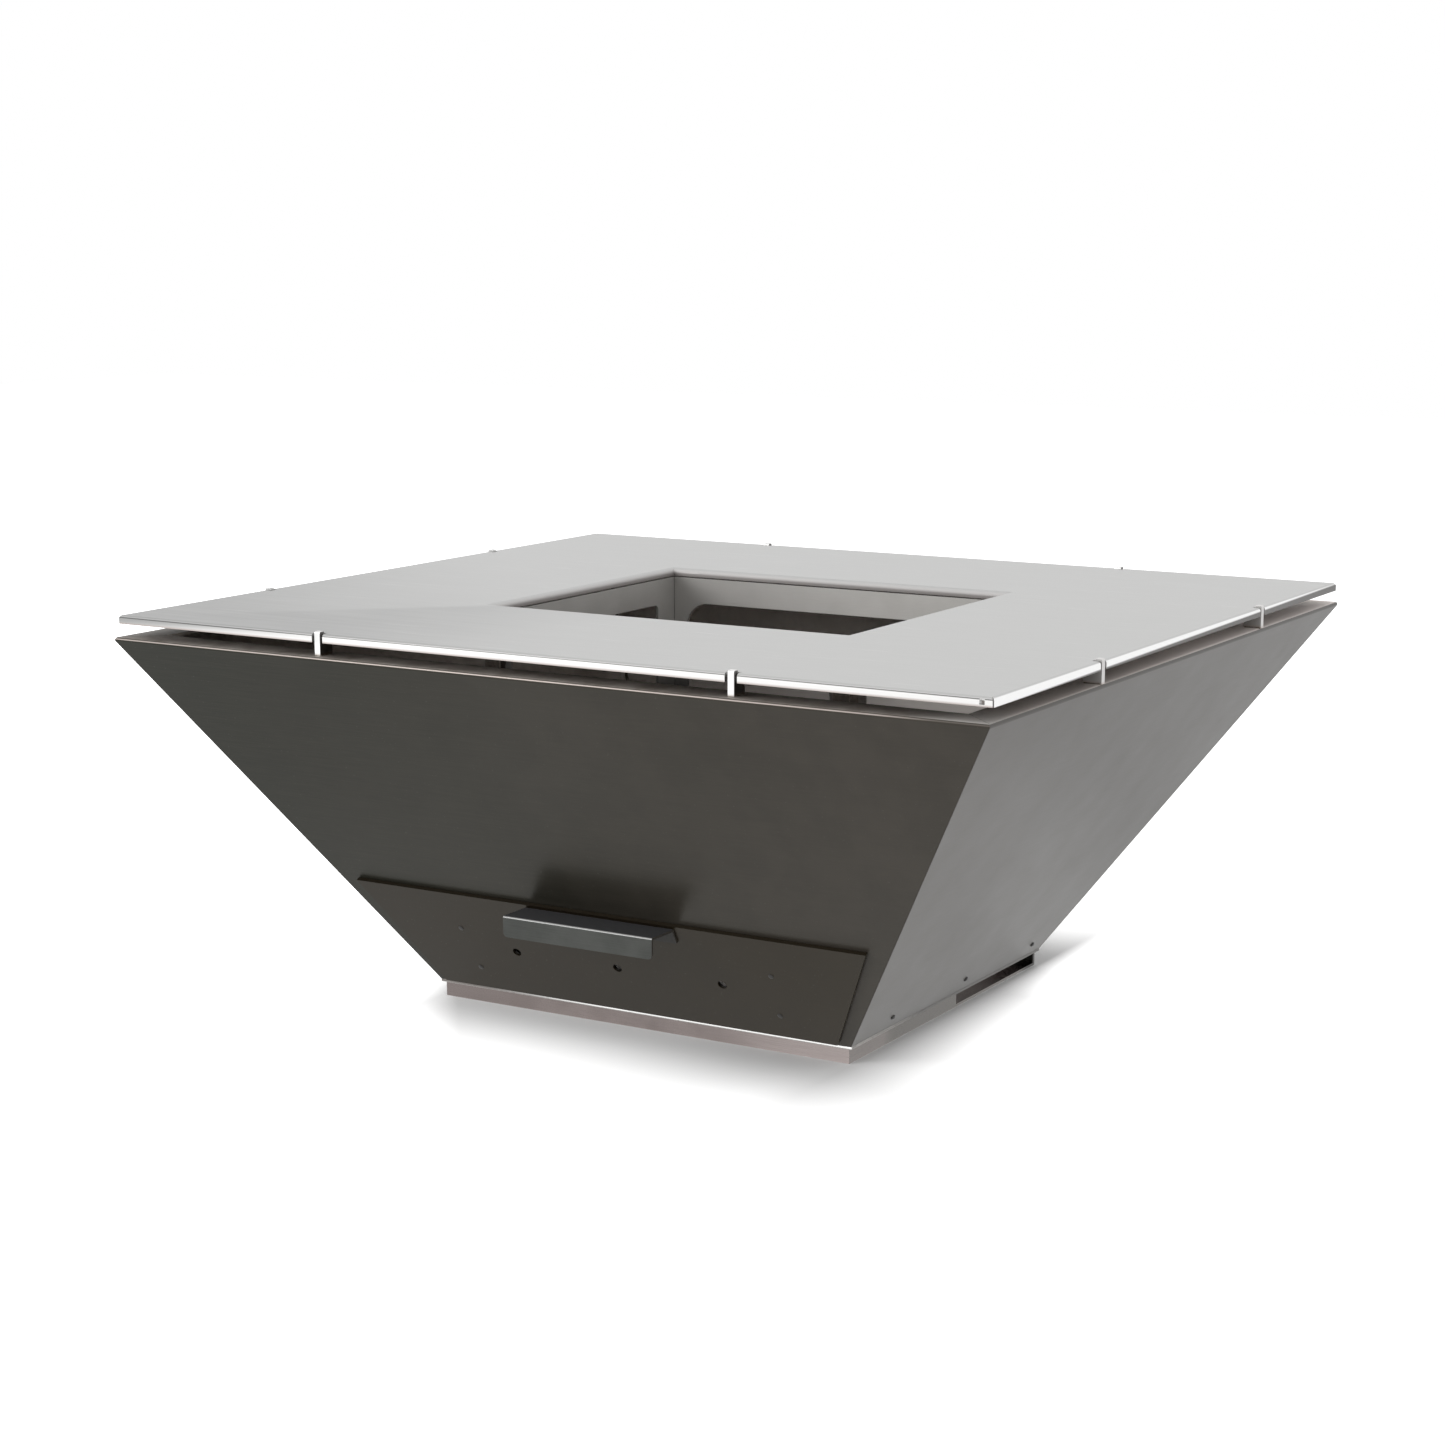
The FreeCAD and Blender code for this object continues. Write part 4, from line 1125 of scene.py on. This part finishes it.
# The profiles of the other turned parts, in the same way as a rivet's.
FRONT_GRIP = 4.0  # the thickness that a rivet holds together, in millimetres
HANDLE_GRIP = 4.5
FASTENER_SIDES = 36
BAR_SIDES = 24
RIPPLE_SIDES = 10
SCREW = [
    (0.0, 0.0, 0), (0.0, 1.2, 0), (0.3, 1.5, 0), (8.9, 1.5, 0), (8.9, 2.75, 0), (9.0, 2.85, 0),
    (9.25, 2.85, 0), (9.75, 2.7, 0), (10.15, 2.35, 0), (10.42, 1.85, 0), (10.53, 1.4, 0), (10.55, 1.2, 0.3),
    (10.5, 1.03, 1), (9.7, 1.0, 1), (9.6, 0.95, 1), (9.5, 0.45, 0), (9.48, 0.0, 0),
]
NUT = [
    (0.0, 1.55, 0), (0.0, 2.1, 0), (0.0, 2.75, 0.15), (0.15, 3.0, 0.7), (0.35, 3.175, 1), (1.2, 3.175, 1),
    (2.05, 3.175, 1), (2.25, 3.0, 0.7), (2.4, 2.75, 0.15), (2.4, 2.1, 0), (2.4, 1.75, 0), (2.2, 1.55, 0),
    (1.8, 1.55, 0), (1.2, 1.55, 0), (0.6, 1.55, 0), (0.2, 1.55, 0), (0.0, 1.55, 0),
]
GRATE_BAR = [
    (0.0, 0.0, 0), (0.0, 3.4, 0), (0.3, 4.3, 0), (0.9, 4.8, 0), (1.7, 5.0, 0), (60.0, 5.0, 0),
    (118.0, 4.9, 0), (172.0, 5.0, 0), (226.0, 4.9, 0), (284.0, 5.0, 0), (342.3, 5.0, 0), (343.1, 4.8, 0),
    (343.7, 4.3, 0), (344.0, 3.4, 0), (344.0, 0.0, 0),
]


def turned_piece(name, node, points, finish, sides):
    """All the turned parts of a node as one piece, each with its head where the solid's top is."""
    shares, length, widest = profile(points)
    steps = turned_steps(name + "_steps", shares, sides)
    places, axes = [], []
    for middle, axis, reach in solids(node):
        places.append(middle + axis * (reach - length))
        axes.append(axis)
    data = built(name, places, axes, steps, {"Length": length, "Widest Radius": widest}, finish)
    close_up(data)
    piece(name, data, finish, body_of_node[node], [node])


for name, node, points, finish in (
        ("drawer_front_rivets", "drawer_rivets", rivet(FRONT_GRIP), rivet_finish),
        ("drawer_handle_rivets", "handle_rivets", rivet(HANDLE_GRIP), rivet_finish),
        ("button_head_screws", "floor_screws", SCREW, screw_finish),
        ("hexagon_nuts", "floor_nuts", NUT, screw_finish)):
    turned_piece(name, node, points, finish, FASTENER_SIDES)
turned_piece("round_grate_bars", "grate_bars", GRATE_BAR, iron_finish, BAR_SIDES)


# ------------------------------------------------------------ weld beads

RIPPLE = [(0.0, 0.0, 0), (0.25, 0.62, 0), (0.8, 0.9, 0), (1.6, 1.0, 0), (2.6, 0.8, 0), (3.2, 0.4, 0),
          (3.3, 0.0, 0)]
RIPPLE_STEP = 2.0 * MM
HALF_RIPPLE = 1.65 * MM
LUG_BEAD = 1.1  # radii of the beads, in millimetres
LEG_BEAD = 1.6
CORNER_BEAD = 2.0
LUG_INSET = 1.5 * MM  # how far a lug's bead stops short of its ends


def seam(start, end, places, axes):
    """Adds the places of the ripples of a bead from start to end."""
    line = Vector(end) - Vector(start)
    way = line.normalized()
    count = max(2, round(line.length / RIPPLE_STEP))
    for step in range(count):
        places.append(Vector(start) + line * ((step + 0.5) / count) - way * HALF_RIPPLE)
        axes.append(way)


def bead(name, seams, radius):
    """One weld piece of overlapping ripples along all the seams."""
    shares, length, _ = profile(RIPPLE)
    steps = turned_steps(name + "_steps", shares, RIPPLE_SIDES)
    places, axes = [], []
    for start, end in seams:
        seam(start, end, places, axes)
    data = built(name, places, axes, steps, {"Length": length, "Widest Radius": radius * MM}, weld_finish)
    close_up(data)
    piece(name, data, weld_finish, "pit", [])


lug_seams = []
for node in body_of_node:
    if node.startswith("plate_lug"):
        low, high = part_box(node)
        if "front" in node or "back" in node:
            for x in (low.x, high.x):
                lug_seams.append(((x, low.y + LUG_INSET, RIM_TOP), (x, high.y - LUG_INSET, RIM_TOP)))
        else:
            for y in (low.y, high.y):
                lug_seams.append(((low.x + LUG_INSET, y, RIM_TOP), (high.x - LUG_INSET, y, RIM_TOP)))
bead("lug_welds", lug_seams, LUG_BEAD)

leg_seams = []
for node in body_of_node:
    if node.startswith("firebox_leg"):
        low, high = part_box(node)
        outer_x = low.x if "left" in node else high.x
        outer_y = low.y if "front" in node else high.y
        leg_seams.append(((low.x, outer_y, FLOOR_TOP), (high.x, outer_y, FLOOR_TOP)))
        leg_seams.append(((outer_x, low.y, FLOOR_TOP), (outer_x, high.y, FLOOR_TOP)))
bead("leg_welds", leg_seams, LEG_BEAD)

bead("bowl_corner_welds", inner_mitres, CORNER_BEAD)


# ------------------------------------------------------------ stage, lamp and camera

SKY_LEVEL = 0.88  # how brightly the studio's air lights the object, as a share of white
FLOOR_TONE = (0.82, 0.82, 0.82)
OPEN_FLOOR = 0.77  # the open floor's own glow, as a share of white
STUDIO_FLOOR_HALF = 9.0  # half the floor's side, in metres
CAMERA_PLACE = (1.50814, -2.57159, 0.82338)
CAMERA_AIM = (-0.0059, 0.0, 0.21256)


def rays(tree):
    """1 for the camera's rays, and 1 for those that a glossy or a clear material sends."""
    light_path = tree.node("ShaderNodeLightPath")
    return light_path.part("Is Camera Ray"), light_path.part("Is Glossy Ray").most(
        light_path.part("Is Transmission Ray"))


def white_sky():
    """The studio's air: white where it is seen or mirrored, and a little less bright as a light."""
    world = bpy.data.worlds.new("white_studio")
    bpy.context.scene.world = world
    world.use_nodes = True
    sky = Tree(world.node_tree)
    seen, mirrored = rays(sky)
    direct = seen.most(mirrored)
    background = world.node_tree.nodes["Background"]
    background.inputs["Strength"].default_value = 1.0
    sky.tree.links.new((direct + (1 - direct) * SKY_LEVEL).socket, background.inputs["Color"])


def floor_glow(paint):
    """How white the floor looks by itself: a painted glow that paints the soft shadow round the foot. It is
    dark at the foot and whitens away from it: over some 200 mm before and behind it, and faster beside it,
    fastest at the right towards the back. Places are in metres, and the slopes in shares of white for each
    metre."""
    x, y, _ = paint.across()
    seen, mirrored = rays(paint)
    past_x = (x.size() - FOOT_HALF_X).most(0.0)
    past_y = ((y - (FOOT_FRONT + FOOT_BACK) / 2).size() - (FOOT_BACK - FOOT_FRONT) / 2).most(0.0)
    distance = (past_x * past_x + past_y * past_y).root()

    shade_width = x.eased(-0.1, 0.15, 0.177, 0.21) + x.eased(0.2, 0.3, 0.0, 0.05)
    before = (past_y / shade_width).eased(0.0, 1.0)
    middle = (-0.01, 0.01)
    slope = x.eased(*middle, 20.0, 8.0)
    slope_past_front = (y + 0.3).most(0.0) * x.eased(*middle, 0.0, 30.0)
    slope_at_back = (y - 0.08).most(0.0) * x.eased(*middle, 0.0, 150.0)
    beside = (past_x * (slope + slope_past_front + slope_at_back)).least(1.0)
    away = before + beside - before * beside

    deepest = x.eased(0.0, 0.2, 0.11, 0.0)
    past_left_line = -0.235 - x - (y + 0.232) * 0.76
    far_left = (past_left_line.most(0.0) * 8.0).least(0.35)
    # In reflections the floor is painted brighter near the foot: a painted reflection.
    mirrored_glow = distance.eased(0.0, 0.5, 0.72, 0.28)
    return seen * (deepest + (OPEN_FLOOR - deepest) * away + far_left) + mirrored * mirrored_glow


def studio_floor():
    paint = Finish("pale_studio_floor")
    paint.surface(FLOOR_TONE, 1.0, metal=0.0, Specular_IOR_Level=0.0, Emission_Color=floor_glow(paint),
                  Emission_Strength=1.0)
    mesh = bmesh.new()
    bmesh.ops.create_grid(mesh, x_segments=8, y_segments=8, size=STUDIO_FLOOR_HALF)
    data = bpy.data.meshes.new("studio_floor")
    mesh.to_mesh(data)
    mesh.free()
    data.materials.append(paint.material)
    floor = bpy.data.objects.new("studio_floor", data)
    bpy.context.scene.collection.objects.link(floor)


def aim_at(made, place, target):
    """Puts a lamp or the camera at a place and turns it towards a target."""
    made.location = place
    made.rotation_euler = (Vector(target) - Vector(place)).to_track_quat("-Z", "Y").to_euler()
    bpy.context.scene.collection.objects.link(made)


def soft_lamp(name, place, target, size, power):
    lamp = bpy.data.lights.new(name, "AREA")
    lamp.shape = "SQUARE"
    lamp.size = size
    lamp.energy = power
    aim_at(bpy.data.objects.new(name, lamp), place, target)


def studio_camera():
    lens = bpy.data.cameras.new("studio_camera")
    lens.sensor_width = 36.0
    lens.lens = 69.206
    lens.shift_x = -0.01803
    lens.shift_y = 0.04565
    camera = bpy.data.objects.new("studio_camera", lens)
    aim_at(camera, CAMERA_PLACE, CAMERA_AIM)
    bpy.context.scene.camera = camera


white_sky()
studio_floor()
soft_lamp("key_softbox", place=(-1.5, -2.35, 1.3), target=(0.0, 0.0, 0.2), size=0.9, power=20.0)
studio_camera()
bpy.context.scene.view_settings.view_transform = "Standard"
